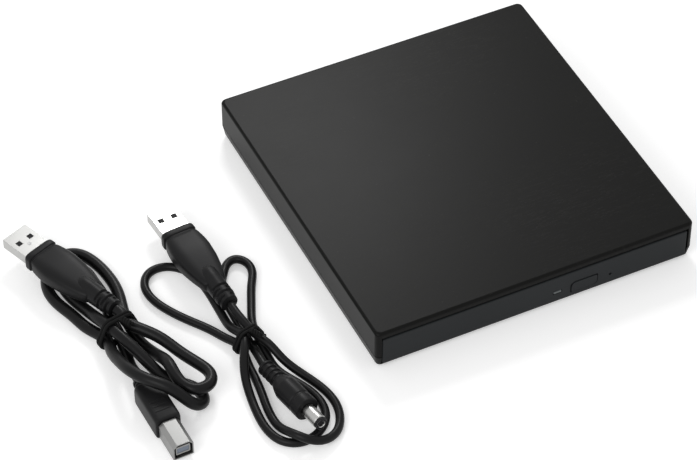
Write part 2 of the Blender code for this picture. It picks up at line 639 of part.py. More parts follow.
def make_bottom_cover(parent, surface):
    """Lower shell: a floor with a tapered skirt, foot recesses, bosses and board posts."""
    under_radius = CORNER_RADIUS - UNDER_FILLET / 2
    rings = [case_ring(CASE_UNDER, UNDER_TAPER + UNDER_FILLET, under_radius),
             case_ring(CASE_UNDER + UNDER_FILLET / 2, UNDER_TAPER + UNDER_FILLET / 4, under_radius),
             case_ring(CASE_UNDER + UNDER_FILLET, UNDER_TAPER, CORNER_RADIUS),
             case_ring(SEAM_Z - SEAM / 2, 0.0, CORNER_RADIUS)]
    inside = block((-INSIDE_X, INSIDE_X), (CASE_FRONT - OVERRUN, INSIDE_BACK),
                   (FLOOR_TOP, SEAM_Z + OVERRUN))
    shape = cut(stack(rings), inside, *socket_openings(CASE_UNDER, SEAM_Z + OVERRUN))
    posts = []
    bores = [round_post(FOOT_RADIUS + TOUCH, CASE_UNDER - OVERRUN, CASE_UNDER + FOOT_SINK + TOUCH, at)
             for at in foot_places()]
    for middle in screw_places().values():
        posts.append(round_post(SCREW_HEAD_RADIUS + TOUCH + BOSS_WALL, FLOOR_TOP - FLOOR_WALL / 2,
                                SEAM_Z - SEAM, middle))
        bores.append(round_post(SCREW_HEAD_RADIUS + TOUCH, CASE_UNDER - OVERRUN,
                                CASE_UNDER + COUNTERBORE_DEPTH, middle))
        bores.append(round_post(SCREW_SHANK_RADIUS + TOUCH, CASE_UNDER, SEAM_Z, middle))
    for side in (-1, 1):
        at = (BRIDGE_X + side * (BRIDGE_WIDTH / 2 - 2 * BOARD_POST_RADIUS), BRIDGE_Y)
        posts.append(round_post(BOARD_POST_RADIUS, FLOOR_TOP - FLOOR_WALL / 2, BRIDGE_LOW - TOUCH, at))
    return piece("bottom_cover", cut(fuse(shape, *posts), *bores), surface, parent)


def foot_places():
    """The four feet's axes."""
    across = CASE_WIDTH / 2 - FOOT_INSET
    along = CASE_DEPTH / 2 - FOOT_INSET
    return [(across * x, along * y) for y in (-1, 1) for x in (-1, 1)]


def make_feet(parent, surface):
    """Four rubber discs in shallow recesses."""
    names = ("foot_front_left", "foot_front_right", "foot_back_left", "foot_back_right")
    edge = FOOT_HEIGHT / 4
    for name, at in zip(names, foot_places()):
        shape = turned(((FOOT_RADIUS - edge, 0.0), (FOOT_RADIUS, edge),
                        (FOOT_RADIUS, CASE_UNDER + FOOT_SINK)))
        piece(name, shape, surface, parent, (*at, 0.0))


def make_case_screws(parent, surface):
    """Two cross-slotted screws that draw the shells together behind the drive."""
    for side, at in screw_places().items():
        head = CASE_UNDER + COUNTERBORE_DEPTH - SCREW_HEAD_HEIGHT - TOUCH
        shape = turned(((SCREW_HEAD_RADIUS, head), (SCREW_HEAD_RADIUS, head + SCREW_HEAD_HEIGHT),
                        (SCREW_SHANK_RADIUS, head + SCREW_HEAD_HEIGHT),
                        (SCREW_SHANK_RADIUS, screw_top() - TOUCH)))
        half = SCREW_SLOT_WIDTH / 2
        reach = SCREW_HEAD_RADIUS / 2
        z_span = (head - OVERRUN, head + SCREW_SLOT_DEPTH)
        slots = (block((-reach, reach), (-half, half), z_span),
                 block((-half, half), (-reach, reach), z_span))
        piece(f"case_screw_{side}", cut(shape, *slots), surface, parent, (*at, 0.0))


def make_chassis(parent, surface):
    """Sheet-metal pan with a stamped window, and the lid that closes the drive."""
    half = DRIVE_WIDTH / 2
    y_span = (DRIVE_FRONT, DRIVE_BACK)
    body = prism(rounded((-half, half), y_span, SHEET), DRIVE_UNDER, LID_UNDER - TOUCH)
    inside = block((-PAN_INSIDE, PAN_INSIDE), (DRIVE_FRONT - OVERRUN, DRIVE_BACK - SHEET),
                   (PAN_FLOOR, LID_UNDER + OVERRUN))
    window_x = (-PAN_WINDOW_LENGTH / 2, PAN_WINDOW_LENGTH / 2)
    window_y = (DISC_Y - PAN_WINDOW_WIDTH / 2, DISC_Y + PAN_WINDOW_WIDTH / 2)
    window = prism(rounded(window_x, window_y, PAN_WINDOW_WIDTH / 4), DRIVE_UNDER - OVERRUN,
                   PAN_FLOOR + OVERRUN)
    piece("chassis_pan", cut(body, inside, window), surface, parent)
    lid = prism(rounded((-half, half), y_span, SHEET), LID_UNDER, DRIVE_TOP)
    groove = cut(round_post(LID_EMBOSS_RADIUS, DRIVE_TOP - LID_EMBOSS_DEPTH, DRIVE_TOP + OVERRUN,
                            (0.0, DISC_Y), FINE_ROUND),
                 round_post(LID_EMBOSS_RADIUS - LID_EMBOSS_WIDTH, DRIVE_TOP - OVERRUN,
                            DRIVE_TOP + 2 * OVERRUN, (0.0, DISC_Y), FINE_ROUND))
    piece("chassis_lid", cut(lid, groove), surface, parent)


def channel(side, outer, depth, base, height, wall, y_span):
    """A rail of channel section that opens towards the middle of the drive."""
    inner = outer - depth
    body = block(sorted((side * inner, side * outer)), y_span, (base, base + height))
    groove = block(sorted((side * (inner - OVERRUN), side * (outer - wall))),
                   (y_span[0] - OVERRUN, y_span[1] + OVERRUN), (base + wall, base + height - wall))
    return cut(body, groove)


def make_rails(fixed, gliding, plastic, steel):
    """The fixed guides and the steel rails that glide in them at half the tray's speed."""
    for name, side in (("left", -1), ("right", 1)):
        guide = channel(side, GUIDE_OUTER, GUIDE_DEPTH, GUIDE_BASE, GUIDE_HEIGHT, GUIDE_BACK,
                        (RAIL_FRONT, RAIL_FRONT + GUIDE_LENGTH))
        piece(f"rail_guide_{name}", guide, plastic, fixed)
        rail = channel(side, RAIL_OUTER, RAIL_DEPTH, RAIL_BASE, RAIL_HEIGHT, RAIL_BACK,
                       (RAIL_FRONT, RAIL_FRONT + RAIL_LENGTH))
        piece(f"slide_rail_{name}", rail, steel, gliding)


def facing(outline, front, back):
    """An outline in X and Z, carried from front to back along Y."""
    return stack([[(x, y, z) for x, z in outline] for y in (front, back)])


def in_mechanism(shape):
    """Carry a mesh from the mechanism's axes to the drive's."""
    turn = Matrix.Rotation(MECHANISM_TURN, 4, "Z")
    return moved(shape, (0.0, DISC_Y, DRIVE_UNDER), turn)


def cover_outline(gap=0.0):
    """The mechanism cover's outline, in the mechanism's axes."""
    return rounded((-COVER_INNER_REACH - gap, COVER_OUTER_REACH + gap),
                   (-COVER_SIDE - gap, COVER_SIDE + gap), COVER_RADIUS)


def board_places():
    """Screw posts of the tray's board."""
    left = TRAY_BOARD_RIGHT - TRAY_BOARD_WIDTH
    inset = 2 * BOARD_POST_RADIUS
    y = TRAY_BOARD_BACK - TRAY_BOARD_DEPTH / 2
    return ((left + inset, y), (TRAY_BOARD_RIGHT - inset, y))


def latch_pivot():
    """The latch's axis."""
    return (LATCH_X - LATCH_OFFSET, LATCH_Y + LATCH_ARM)


def button_outline(grow=0.0):
    """The eject button's face: two large and two small corners."""
    half_x = BUTTON_WIDTH / 2 + grow
    half_z = BUTTON_HEIGHT / 2 + grow
    radii = (BUTTON_SMALL_RADIUS, BUTTON_LARGE_RADIUS) * 2
    return corners((BUTTON_X - half_x, BUTTON_X + half_x), (BUTTON_Z - half_z, BUTTON_Z + half_z), radii)


def make_tray(parent, surface):
    """Open-bottomed tray with the disc well, finger scallops and a window for the mechanism."""
    y_span = (TRAY_FRONT, TRAY_BACK)
    hull = block((-HULL_X, HULL_X), y_span, (TRAY_UNDER, RIM_TOP))
    rim = block((-RIM_X, RIM_X), y_span, (GUIDE_BASE + GUIDE_HEIGHT + RUN, RIM_TOP))
    additions = [rim]
    for side in (-1, 1):
        x_span = sorted((side * (HULL_X - TRAY_WALL / 2), side * TONGUE_OUTER))
        additions.append(block(x_span, (RAIL_FRONT, RAIL_FRONT + RAIL_LENGTH),
                               (TONGUE_BASE, TONGUE_BASE + TONGUE_HEIGHT)))
    inside = block((TRAY_WALL - HULL_X, HULL_X - TRAY_WALL),
                   (TRAY_FRONT + TRAY_WALL, TRAY_BACK + OVERRUN), (TRAY_UNDER - OVERRUN, TRAY_FLOOR_UNDER))
    well = round_post(WELL_RADIUS, WELL_FLOOR, RIM_TOP + OVERRUN, (0.0, DISC_Y), FINE_ROUND)
    scallops = [round_post(FINGER_RADIUS, WELL_FLOOR, RIM_TOP + OVERRUN,
                           (side * WELL_RADIUS * math.sqrt(0.5), DISC_Y - WELL_RADIUS * math.sqrt(0.5)))
                for side in (-1, 1)]
    window = in_mechanism(prism(cover_outline(TOUCH), 0.0, RIM_TOP - DRIVE_UNDER - RIM_HEIGHT / 2))
    stem_hole = along_y(round_post(STEM_RADIUS + RUN, 0.0, TRAY_WALL + 2 * OVERRUN),
                        (BUTTON_X, TRAY_FRONT - OVERRUN, BUTTON_Z))
    pin_hole = along_y(round_post(2 * PINHOLE_RADIUS, 0.0, TRAY_WALL + 2 * OVERRUN),
                       (PINHOLE_X, TRAY_FRONT - OVERRUN, PINHOLE_Z))
    shape = cut(fuse(hull, *additions), inside, well, *scallops, window, stem_hole, pin_hole)
    bury = TRAY_FLOOR / 2
    posts = [round_post(BOARD_POST_RADIUS, TRAY_FLOOR_UNDER - BOARD_DROP + TOUCH,
                        TRAY_FLOOR_UNDER + bury, at) for at in board_places()]
    posts.append(round_post(PIVOT_RADIUS, latch_low() - TOUCH, TRAY_FLOOR_UNDER + bury, latch_pivot()))
    return piece("disc_tray", fuse(shape, *posts), surface, parent)


def latch_low():
    """Height of the latch's lower face."""
    return PAN_FLOOR + TOUCH + CATCH_HEIGHT / 2 - LATCH_THICK / 2


def make_bezel(parent, surface):
    """Front of the tray, with a softened edge and openings for button, lamp and pin."""
    half = INSIDE_X - BEZEL_SIDE_GAP
    z_span = (BEZEL_UNDER, BEZEL_UNDER + BEZEL_HEIGHT)
    edge = BEZEL_RADIUS / 2
    rings = []
    for y, inset in ((BEZEL_FRONT, edge), (BEZEL_FRONT + edge, 0.0), (BEZEL_BACK, 0.0)):
        outline = rounded((inset - half, half - inset), (z_span[0] + inset, z_span[1] - inset),
                          BEZEL_RADIUS)
        rings.append([(x, y, z) for x, z in outline])
    pocket_front = BEZEL_FRONT + BEZEL_SKIN
    lamp = lamp_outline(TOUCH)
    cutters = (facing(button_outline(BUTTON_GAP), BEZEL_FRONT - OVERRUN, pocket_front + OVERRUN),
               facing(button_outline(BUTTON_FLANGE + BUTTON_GAP), pocket_front, BEZEL_BACK + OVERRUN),
               facing(lamp, BEZEL_FRONT - OVERRUN, BEZEL_BACK + OVERRUN),
               along_y(round_post(PINHOLE_RADIUS, 0.0, BEZEL_THICK + 2 * OVERRUN),
                       (PINHOLE_X, BEZEL_FRONT - OVERRUN, PINHOLE_Z)))
    piece("tray_bezel", cut(stack(rings), *cutters), surface, parent)


def lamp_outline(grow=0.0):
    """The access lamp's face."""
    half_x = LAMP_WIDTH / 2 + grow
    half_z = LAMP_HEIGHT / 2 + grow
    return rounded((LAMP_X - half_x, LAMP_X + half_x), (LAMP_Z - half_z, LAMP_Z + half_z),
                   LAMP_HEIGHT / 4)


def make_button(parent, surface):
    """Eject button: a face in the bezel's window, a flange behind it and a stem to its switch."""
    flange_front = BEZEL_FRONT + BEZEL_SKIN + TOUCH
    face = facing(button_outline(), BEZEL_FRONT - BUTTON_PROUD, flange_front + BUTTON_FLANGE_THICK / 2)
    flange = facing(button_outline(BUTTON_FLANGE), flange_front, flange_front + BUTTON_FLANGE_THICK)
    stem_front = flange_front + BUTTON_FLANGE_THICK / 2
    stem_back = TRAY_FRONT + TRAY_WALL + TOUCH - BUTTON_TRAVEL - TOUCH
    stem = along_y(round_post(STEM_RADIUS, 0.0, stem_back - stem_front), (BUTTON_X, stem_front, BUTTON_Z))
    shape = moved(fuse(face, flange, stem), (-BUTTON_X, -BEZEL_FRONT, -BUTTON_Z))
    piece("eject_button", shape, surface, parent)


def make_tray_fittings(parent, finishes):
    """Lamp, switch, board, chip and solenoid that ride on the tray."""
    lamp = facing(lamp_outline(), BEZEL_FRONT, BEZEL_BACK)
    piece("access_lamp", lamp, finishes["lamp"], parent)
    half = SWITCH_SIZE / 2
    front = TRAY_FRONT + TRAY_WALL + TOUCH
    piece("eject_switch", block((BUTTON_X - half, BUTTON_X + half), (front, front + SWITCH_DEPTH),
                                (BUTTON_Z - half, BUTTON_Z + half)), finishes["chip"], parent)
    high = TRAY_FLOOR_UNDER - BOARD_DROP
    x_span = (TRAY_BOARD_RIGHT - TRAY_BOARD_WIDTH, TRAY_BOARD_RIGHT)
    y_span = (TRAY_BOARD_BACK - TRAY_BOARD_DEPTH, TRAY_BOARD_BACK)
    board = prism(rounded(x_span, y_span, BOARD_THICK), high - BOARD_THICK, high)
    piece("tray_board", board, finishes["board"], parent)
    middle_x = sum(x_span) / 2
    middle_y = sum(y_span) / 2
    reach = CHIP_SIZE / 2
    chip = block((middle_x - reach, middle_x + reach), (middle_y - reach, middle_y + reach),
                 (high + TOUCH, high + TOUCH + CHIP_HEIGHT))
    piece("servo_chip", chip, finishes["chip"], parent)
    top = TRAY_FLOOR_UNDER - TOUCH
    right = latch_pivot()[0] - LATCH_WIDTH / 2
    back = latch_pivot()[1] + LATCH_WIDTH + SOLENOID_LENGTH
    solenoid = prism(rounded((right - SOLENOID_WIDTH, right), (back - SOLENOID_LENGTH, back),
                             BOARD_THICK), top - SOLENOID_HEIGHT, top)
    piece("latch_solenoid", solenoid, finishes["brass"], parent)


def make_latch(parent, surface):
    """Hook that holds the tray behind the chassis's catch pin, about its pivot."""
    half = LATCH_WIDTH / 2
    tip = CATCH_RADIUS + RUN - LATCH_ARM
    hook_right = LATCH_OFFSET - CATCH_RADIUS + LATCH_BITE
    outline = [(-half, tip), (hook_right, tip), (hook_right, tip + LATCH_WIDTH / 2),
               (half, tip + LATCH_WIDTH), (half, half), (-half, half)]
    low = latch_low()
    hole = round_post(PIVOT_RADIUS + TOUCH / 2, low - OVERRUN, low + LATCH_THICK + OVERRUN)
    head = round_post(LATCH_WIDTH, low, low + LATCH_THICK)
    shape = cut(fuse(prism(outline, low, low + LATCH_THICK), head), hole)
    piece("latch_hook", shape, surface, parent)


def damper_places():
    """Where rubber dampers hang the mechanism from the tray, in the mechanism's axes."""
    return ((-DAMPER_INNER_X, -DAMPER_NEAR_Y), (-DAMPER_INNER_X, DAMPER_FAR_Y),
            (DAMPER_EAR_X, PLATE_FAR_SIDE + DAMPER_RADIUS / 2))


def rod_rests():
    """Blocks at the ends of the two guide rods and of the lead screw."""
    high = PLATE_HIGH + TOUCH + SLED_HEIGHT
    rests = []
    inner = ROD_START - TOUCH - ROD_REST
    outer = ROD_END + TOUCH
    for side in (-1, 1):
        y_span = (side * ROD_SIDE - ROD_RADIUS * 1.5, side * ROD_SIDE + ROD_RADIUS * 1.5)
        for start in (inner, outer):
            rests.append(block((start, start + ROD_REST), y_span, (PLATE_LOW, high)))
    y_span = (-SCREW_SIDE - LEAD_SCREW_RADIUS, -SCREW_SIDE + LEAD_SCREW_RADIUS)
    rests.append(block((outer, outer + ROD_REST), y_span, (PLATE_LOW, screw_axis_z() + LEAD_SCREW_RADIUS)))
    return rests


def screw_axis_z():
    """Height of the sled motor and of its lead screw above the drive's underside."""
    return PLATE_HIGH + TOUCH + SLED_MOTOR_RADIUS


def make_mechanism_frame(parent, finishes):
    """Base plate, its dampers, the cover, the spindle's motor, the rods and the sled's motor."""
    plate = prism(rounded((-PLATE_INNER_REACH, PLATE_OUTER_REACH), (-PLATE_NEAR_SIDE, PLATE_FAR_SIDE),
                          PLATE_THICK), PLATE_LOW, PLATE_HIGH)
    ear = round_post(DAMPER_RADIUS, PLATE_LOW, PLATE_HIGH, damper_places()[-1])
    window = block((ROTOR_RADIUS, SLED_WINDOW_END - ROD_REST), (-SLED_WINDOW_WIDTH / 2, SLED_WINDOW_WIDTH / 2),
                   (PLATE_LOW - OVERRUN, PLATE_HIGH + OVERRUN))
    reach = COVER_SIDE - 2 * COVER_POST_RADIUS
    posts = [round_post(COVER_POST_RADIUS, PLATE_LOW, COVER_LOW - TOUCH, (x, y))
             for x, y in ((-COVER_INNER_REACH + COVER_RADIUS / 2, 0.0), (COVER_RADIUS / 2, reach),
                          (COVER_RADIUS / 2, -reach))]
    shape = fuse(cut(plate, window), ear, *rod_rests(), *posts)
    piece("mechanism_plate", shape, finishes["sheet"], parent)
    low = PLATE_HIGH + TOUCH
    high = TRAY_FLOOR_UNDER - DRIVE_UNDER - TOUCH
    third = (high - low) / 3
    waist = DAMPER_RADIUS * DAMPER_WAIST_SHARE
    for count, place in enumerate(damper_places(), 1):
        shape = turned(((DAMPER_RADIUS, low), (DAMPER_RADIUS, low + third), (waist, low + third),
                        (waist, high - third), (DAMPER_RADIUS, high - third), (DAMPER_RADIUS, high)))
        piece(f"damper_{count}", shape, finishes["rubber"], parent, (*place, 0.0))
    cover = prism(cover_outline(), COVER_LOW, COVER_HIGH)
    slot = block((0.0, COVER_OUTER_REACH + OVERRUN), (-LENS_SLOT_WIDTH / 2, LENS_SLOT_WIDTH / 2),
                 (COVER_LOW - OVERRUN, COVER_HIGH + OVERRUN))
    hole = round_post(SPINDLE_WINDOW_RADIUS, COVER_LOW - OVERRUN, COVER_HIGH + OVERRUN, sides=FINE_ROUND)
    piece("mechanism_cover", cut(cover, slot, hole), finishes["sheet"], parent)
    motor = round_post(MOTOR_RADIUS, PLATE_HIGH + TOUCH, PLATE_HIGH + TOUCH + MOTOR_HEIGHT)
    piece("spindle_motor", motor, finishes["steel"], parent)
    rod_z = PLATE_HIGH + RUN + SLED_HEIGHT / 2
    for name, side in (("near", -1), ("far", 1)):
        rod = along_x(round_post(ROD_RADIUS, ROD_START, ROD_END, sides=ROUND // 2),
                      (0.0, side * ROD_SIDE, rod_z))
        piece(f"guide_rod_{name}", rod, finishes["steel"], parent)
    start = ROD_START - SLED_MOTOR_LENGTH
    body = along_x(round_post(SLED_MOTOR_RADIUS, start, ROD_START), (0.0, -SCREW_SIDE, screw_axis_z()))
    piece("sled_motor", body, finishes["steel"], parent)


def make_spindle(parent, finishes):
    """Turntable with its rotor, its centring hub, and the three-clawed clamp in the hub."""
    rotor_low = PLATE_HIGH + TOUCH + MOTOR_HEIGHT + RUN
    rotor_high = rotor_low + ROTOR_HEIGHT
    hub_top = TABLE_TOP + HUB_HEIGHT
    shape = turned(((ROTOR_RADIUS, rotor_low), (ROTOR_RADIUS, rotor_high),
                    (SPINDLE_NECK_RADIUS, rotor_high), (SPINDLE_NECK_RADIUS, TABLE_TOP - TABLE_THICK),
                    (TABLE_RADIUS, TABLE_TOP - TABLE_THICK), (TABLE_RADIUS, TABLE_TOP),
                    (HUB_RADIUS, TABLE_TOP), (HUB_RADIUS, hub_top - HUB_BEVEL),
                    (HUB_RADIUS - HUB_BEVEL, hub_top)), sides=2 * ROUND)
    recess = round_post(CLAMP_RADIUS + TOUCH, hub_top - CLAMP_DEPTH - TOUCH, hub_top + OVERRUN)
    slots = [claw(CLAW_WIDTH + 2 * TOUCH, HUB_RADIUS + OVERRUN, hub_top - CLAMP_DEPTH - TOUCH,
                  hub_top + OVERRUN, index) for index in range(CLAW_COUNT)]
    piece("turntable", cut(shape, recess, *slots), finishes["plastic"], parent)
    low = hub_top - CLAMP_DEPTH
    cap = round_post(CLAMP_RADIUS, low, hub_top - TOUCH)
    claws = [claw(CLAW_WIDTH, HUB_RADIUS + CLAW_REACH, low, low + CLAW_HEIGHT, index)
             for index in range(CLAW_COUNT)]
    piece("disc_clamp", fuse(cap, *claws), finishes["ivory"], parent)


def claw(width, reach, low, high, index):
    """One radial bar of the clamp."""
    bar = block((0.0, reach), (-width / 2, width / 2), (low, high))
    return moved(bar, turn=Matrix.Rotation(math.tau * index / CLAW_COUNT, 4, "Z"))


def make_sled(sled, lens_axis, screw_axis, finishes):
    """Optical sled on its rods, the focusing lens holder, the lens, and the lead screw."""
    low = PLATE_HIGH + RUN
    high = low + SLED_HEIGHT
    half = SLED_NECK_WIDTH / 2
    body = prism(rounded((-SLED_BACK, SLED_FRONT), (-half, half), SLED_HEIGHT / 2), low, high)
    arm_end = ROD_SIDE + ROD_RADIUS * 2
    arms = block((-SLED_BACK, -SLED_BACK / 3), (-arm_end, arm_end), (low, high))
    rod_z = low + SLED_HEIGHT / 2
    bores = [along_x(round_post(ROD_RADIUS + TOUCH / 2, -SLED_BACK - OVERRUN, SLED_FRONT, sides=ROUND // 2),
                     (0.0, side * ROD_SIDE, rod_z)) for side in (-1, 1)]
    piece("pickup_sled", cut(fuse(body, arms), *bores), finishes["sheet"], sled)
    holder_low = high + HOLDER_GAP
    holder_top = holder_low + HOLDER_HEIGHT
    holder = prism(rounded((-HOLDER_LENGTH / 2, HOLDER_LENGTH / 2), (-HOLDER_WIDTH / 2, HOLDER_WIDTH / 2),
                           HOLDER_HEIGHT), holder_low, holder_top)
    seat = round_post(LENS_RADIUS + TOUCH / 2, holder_top - LENS_SEAT, holder_top + OVERRUN)
    piece("lens_holder", cut(holder, seat), finishes["plastic"], lens_axis)
    lens_low = holder_top - LENS_SEAT + TOUCH
    dome = LENS_RADIUS * 0.7
    lens = turned(((LENS_RADIUS, lens_low), (LENS_RADIUS, lens_low + LENS_HEIGHT / 2),
                   (dome, lens_low + LENS_HEIGHT)))
    piece("objective_lens", lens, finishes["glass"], lens_axis)
    piece("lead_screw", threaded_rod(ROD_START + TOUCH, ROD_END), finishes["steel"], screw_axis)


def threaded_rod(start, end):
    """Lead screw: a plain core with one turn of raised rib for every pitch, from start to end."""
    rings = []
    turns = int((end - start) / LEAD_SCREW_PITCH)
    step = (end - start) / turns / 4
    for index in range(turns):
        base = start + index * step * 4
        for place, radius in enumerate((LEAD_SCREW_ROOT, LEAD_SCREW_ROOT, LEAD_SCREW_RADIUS,
                                        LEAD_SCREW_RADIUS)):
            rings.append((radius, base + place * step))
    rings.append((LEAD_SCREW_ROOT, end))
    return along_x(turned(rings, sides=ROUND // 3))


def make_rear_bay(parent, finishes):
    """Interface board with its chip, crystal and drive connector, and the two sockets."""
    x_span = (BRIDGE_X - BRIDGE_WIDTH / 2, BRIDGE_X + BRIDGE_WIDTH / 2)
    y_span = (BRIDGE_Y - BRIDGE_DEPTH / 2, BRIDGE_Y + BRIDGE_DEPTH / 2)
    board = prism(rounded(x_span, y_span, BOARD_THICK), BRIDGE_LOW, BRIDGE_HIGH)
    piece("bridge_board", board, finishes["board"], parent)
    front = y_span[0]
    connector = block((CONNECTOR_X - CONNECTOR_WIDTH / 2, CONNECTOR_X + CONNECTOR_WIDTH / 2 - CHIP_SIZE),
                      (front, front + CONNECTOR_DEPTH), (SOCKET_BASE, SOCKET_BASE + CONNECTOR_HEIGHT))
    piece("drive_connector", connector, finishes["chip"], parent)
    chip_x = x_span[0] + CHIP_SIZE / 2 + 2 * BOARD_THICK
    back = y_span[1] - BOARD_THICK
    chip = block((CONNECTOR_X - CHIP_SIZE / 2, CONNECTOR_X + CHIP_SIZE / 2),
                 (back - CHIP_SIZE / 2, back), (SOCKET_BASE, SOCKET_BASE + CHIP_HEIGHT))
    piece("bridge_chip", chip, finishes["chip"], parent)
    can = prism(rounded((chip_x - CRYSTAL_LENGTH / 2, chip_x + CRYSTAL_LENGTH / 2),
                        (back - CRYSTAL_WIDTH, back), CRYSTAL_WIDTH / 2), SOCKET_BASE,
                SOCKET_BASE + CONNECTOR_HEIGHT)
    piece("crystal_can", can, finishes["steel"], parent)
    make_usb_socket(parent, finishes)
    make_power_jack(parent, finishes)


def square_outline(middle_x, middle_z, width, height, chamfer):
    """A square-type connector's outline: a rectangle with its two upper corners cut off."""
    left, right = middle_x - width / 2, middle_x + width / 2
    low, high = middle_z - height / 2, middle_z + height / 2
    return [(left, low), (right, low), (right, high - chamfer), (right - chamfer, high),
            (left + chamfer, high), (left, high - chamfer)]


def make_usb_socket(parent, finishes):
    """Square data socket: a folded metal shell and the contact tongue inside it."""
    back = CASE_BACK - TOUCH
    middle_z = SOCKET_BASE + USB_SOCKET_HEIGHT / 2
    half = USB_SOCKET_WIDTH / 2
    body = block((USB_SOCKET_X - half, USB_SOCKET_X + half), (back - USB_SOCKET_DEPTH, back),
                 (SOCKET_BASE, SOCKET_BASE + USB_SOCKET_HEIGHT))
    mouth = facing(square_outline(USB_SOCKET_X, middle_z, USB_MOUTH_WIDTH, USB_MOUTH_HEIGHT,
                                  USB_MOUTH_CHAMFER), back - USB_MOUTH_DEPTH, back + OVERRUN)
    piece("usb_socket", cut(body, mouth), finishes["sheet"], parent)
    half_x, half_z = USB_TONGUE_WIDTH / 2, USB_TONGUE_HEIGHT / 2
    tongue = block((USB_SOCKET_X - half_x, USB_SOCKET_X + half_x),
                   (back - USB_MOUTH_DEPTH + TOUCH, back - USB_TONGUE_RECESS),
                   (middle_z - half_z, middle_z + half_z))
    piece("usb_socket_tongue", tongue, finishes["ivory"], parent)


def make_power_jack(parent, finishes):
    """Round power jack and its centre pin."""
    back = CASE_BACK - TOUCH
    middle_z = SOCKET_BASE + JACK_HEIGHT / 2
    half = JACK_WIDTH / 2
    body = block((JACK_X - half, JACK_X + half), (back - JACK_DEPTH, back),
                 (SOCKET_BASE, SOCKET_BASE + JACK_HEIGHT))
    depth = JACK_PIN_LENGTH + JACK_PIN_RECESS + TOUCH
    bore = along_y(round_post(JACK_BORE_RADIUS, 0.0, depth + OVERRUN), (JACK_X, back - depth, middle_z))
    piece("power_jack", cut(body, bore), finishes["plastic"], parent)
    tip = JACK_PIN_RADIUS / 2
    pin = turned(((JACK_PIN_RADIUS, 0.0), (JACK_PIN_RADIUS, JACK_PIN_LENGTH - tip),
                  (tip, JACK_PIN_LENGTH)), sides=ROUND // 2)
    piece("power_jack_pin", along_y(pin, (JACK_X, back - depth + TOUCH, middle_z)), finishes["steel"], parent)


def make_pan_fittings(parent, finishes):
    """The ribbon on the pan's floor and the catch pin that the latch holds."""
    low = PAN_FLOOR + TOUCH
    back = DRIVE_BACK - SHEET - TOUCH
    ribbon = block((RIBBON_X - RIBBON_WIDTH / 2, RIBBON_X + RIBBON_WIDTH / 2),
                   (back - RIBBON_LENGTH, back), (low, low + RIBBON_THICK))
    piece("ribbon_cable", ribbon, finishes["film"], parent)
    pin = turned(((CATCH_RADIUS, low), (CATCH_RADIUS, low + CATCH_HEIGHT)), sides=ROUND // 2)
    piece("catch_pin", pin, finishes["steel"], parent, (LATCH_X, LATCH_Y, 0.0))

# Sections of the moulded grips from the cord's end to the metal shell: place along the grip,
# half width, half height, and squareness of the section (2 is an ellipse)
PLUG_GRIP_SHARES = (
    (0.000, 0.41, 0.78, 2.0), (0.014, 0.47, 0.90, 2.0), (0.100, 0.50, 0.95, 2.0),
    (0.103, 0.39, 0.74, 2.0), (0.130, 0.39, 0.74, 2.0), (0.133, 0.50, 0.95, 2.0),
    (0.165, 0.50, 0.95, 2.0), (0.168, 0.39, 0.74, 2.0), (0.195, 0.39, 0.74, 2.0),
    (0.198, 0.50, 0.95, 2.0), (0.280, 0.50, 0.95, 2.0), (0.330, 0.66, 0.98, 2.6),
    (0.500, 0.87, 1.00, 3.4), (0.690, 1.00, 1.00, 4.0), (0.830, 0.96, 0.96, 4.5),
    (0.905, 0.87, 0.90, 5.0), (0.912, 0.81, 0.83, 5.0), (0.930, 0.81, 0.83, 5.0),
    (0.937, 0.88, 0.92, 5.5), (0.985, 0.87, 0.90, 5.5), (1.000, 0.84, 0.86, 5.5),
)
SQUARE_GRIP_SHARES = (
    (0.00, 0.58, 0.60, 2.0), (0.06, 0.64, 0.66, 2.0), (0.16, 0.66, 0.68, 2.2),
    (0.22, 0.96, 0.96, 6.0), (0.26, 1.00, 1.00, 7.0), (0.97, 1.00, 1.00, 7.0),
    (1.00, 0.95, 0.95, 7.0),
)
BARREL_RELIEF_SHARE = 0.34          # of the barrel plug's grip, ribbed
BARREL_RIB_COUNT = 4
GRIP_SIDES = 20


def superellipse(half_width, half_height, squareness):
    """Points of a section across a grip, in Y and Z."""
    points = []
    for side in range(GRIP_SIDES):
        angle = math.tau * (side + 0.5) / GRIP_SIDES
        across, up = math.cos(angle), math.sin(angle)
        points.append((math.copysign(abs(across) ** (2 / squareness), across) * half_width,
                       math.copysign(abs(up) ** (2 / squareness), up) * half_height))
    return points


def grip(shares, length, width, height):
    """A moulded grip that lies along +X from the cord's end."""
    rings = []
    for place, wide, high, squareness in shares:
        section = superellipse(wide * width / 2, high * height / 2, squareness)
        rings.append([(place * length, y, z) for y, z in section])
    return stack(rings)


def lay_lead_end(name, place, heading, pitch=0.0):
    """An empty at a plug's cord end, turned so that +X runs to the plug's tip."""
    made = axis_at(name, [value * MM for value in place])
    made.rotation_euler = (0.0, -pitch, heading)
    return made


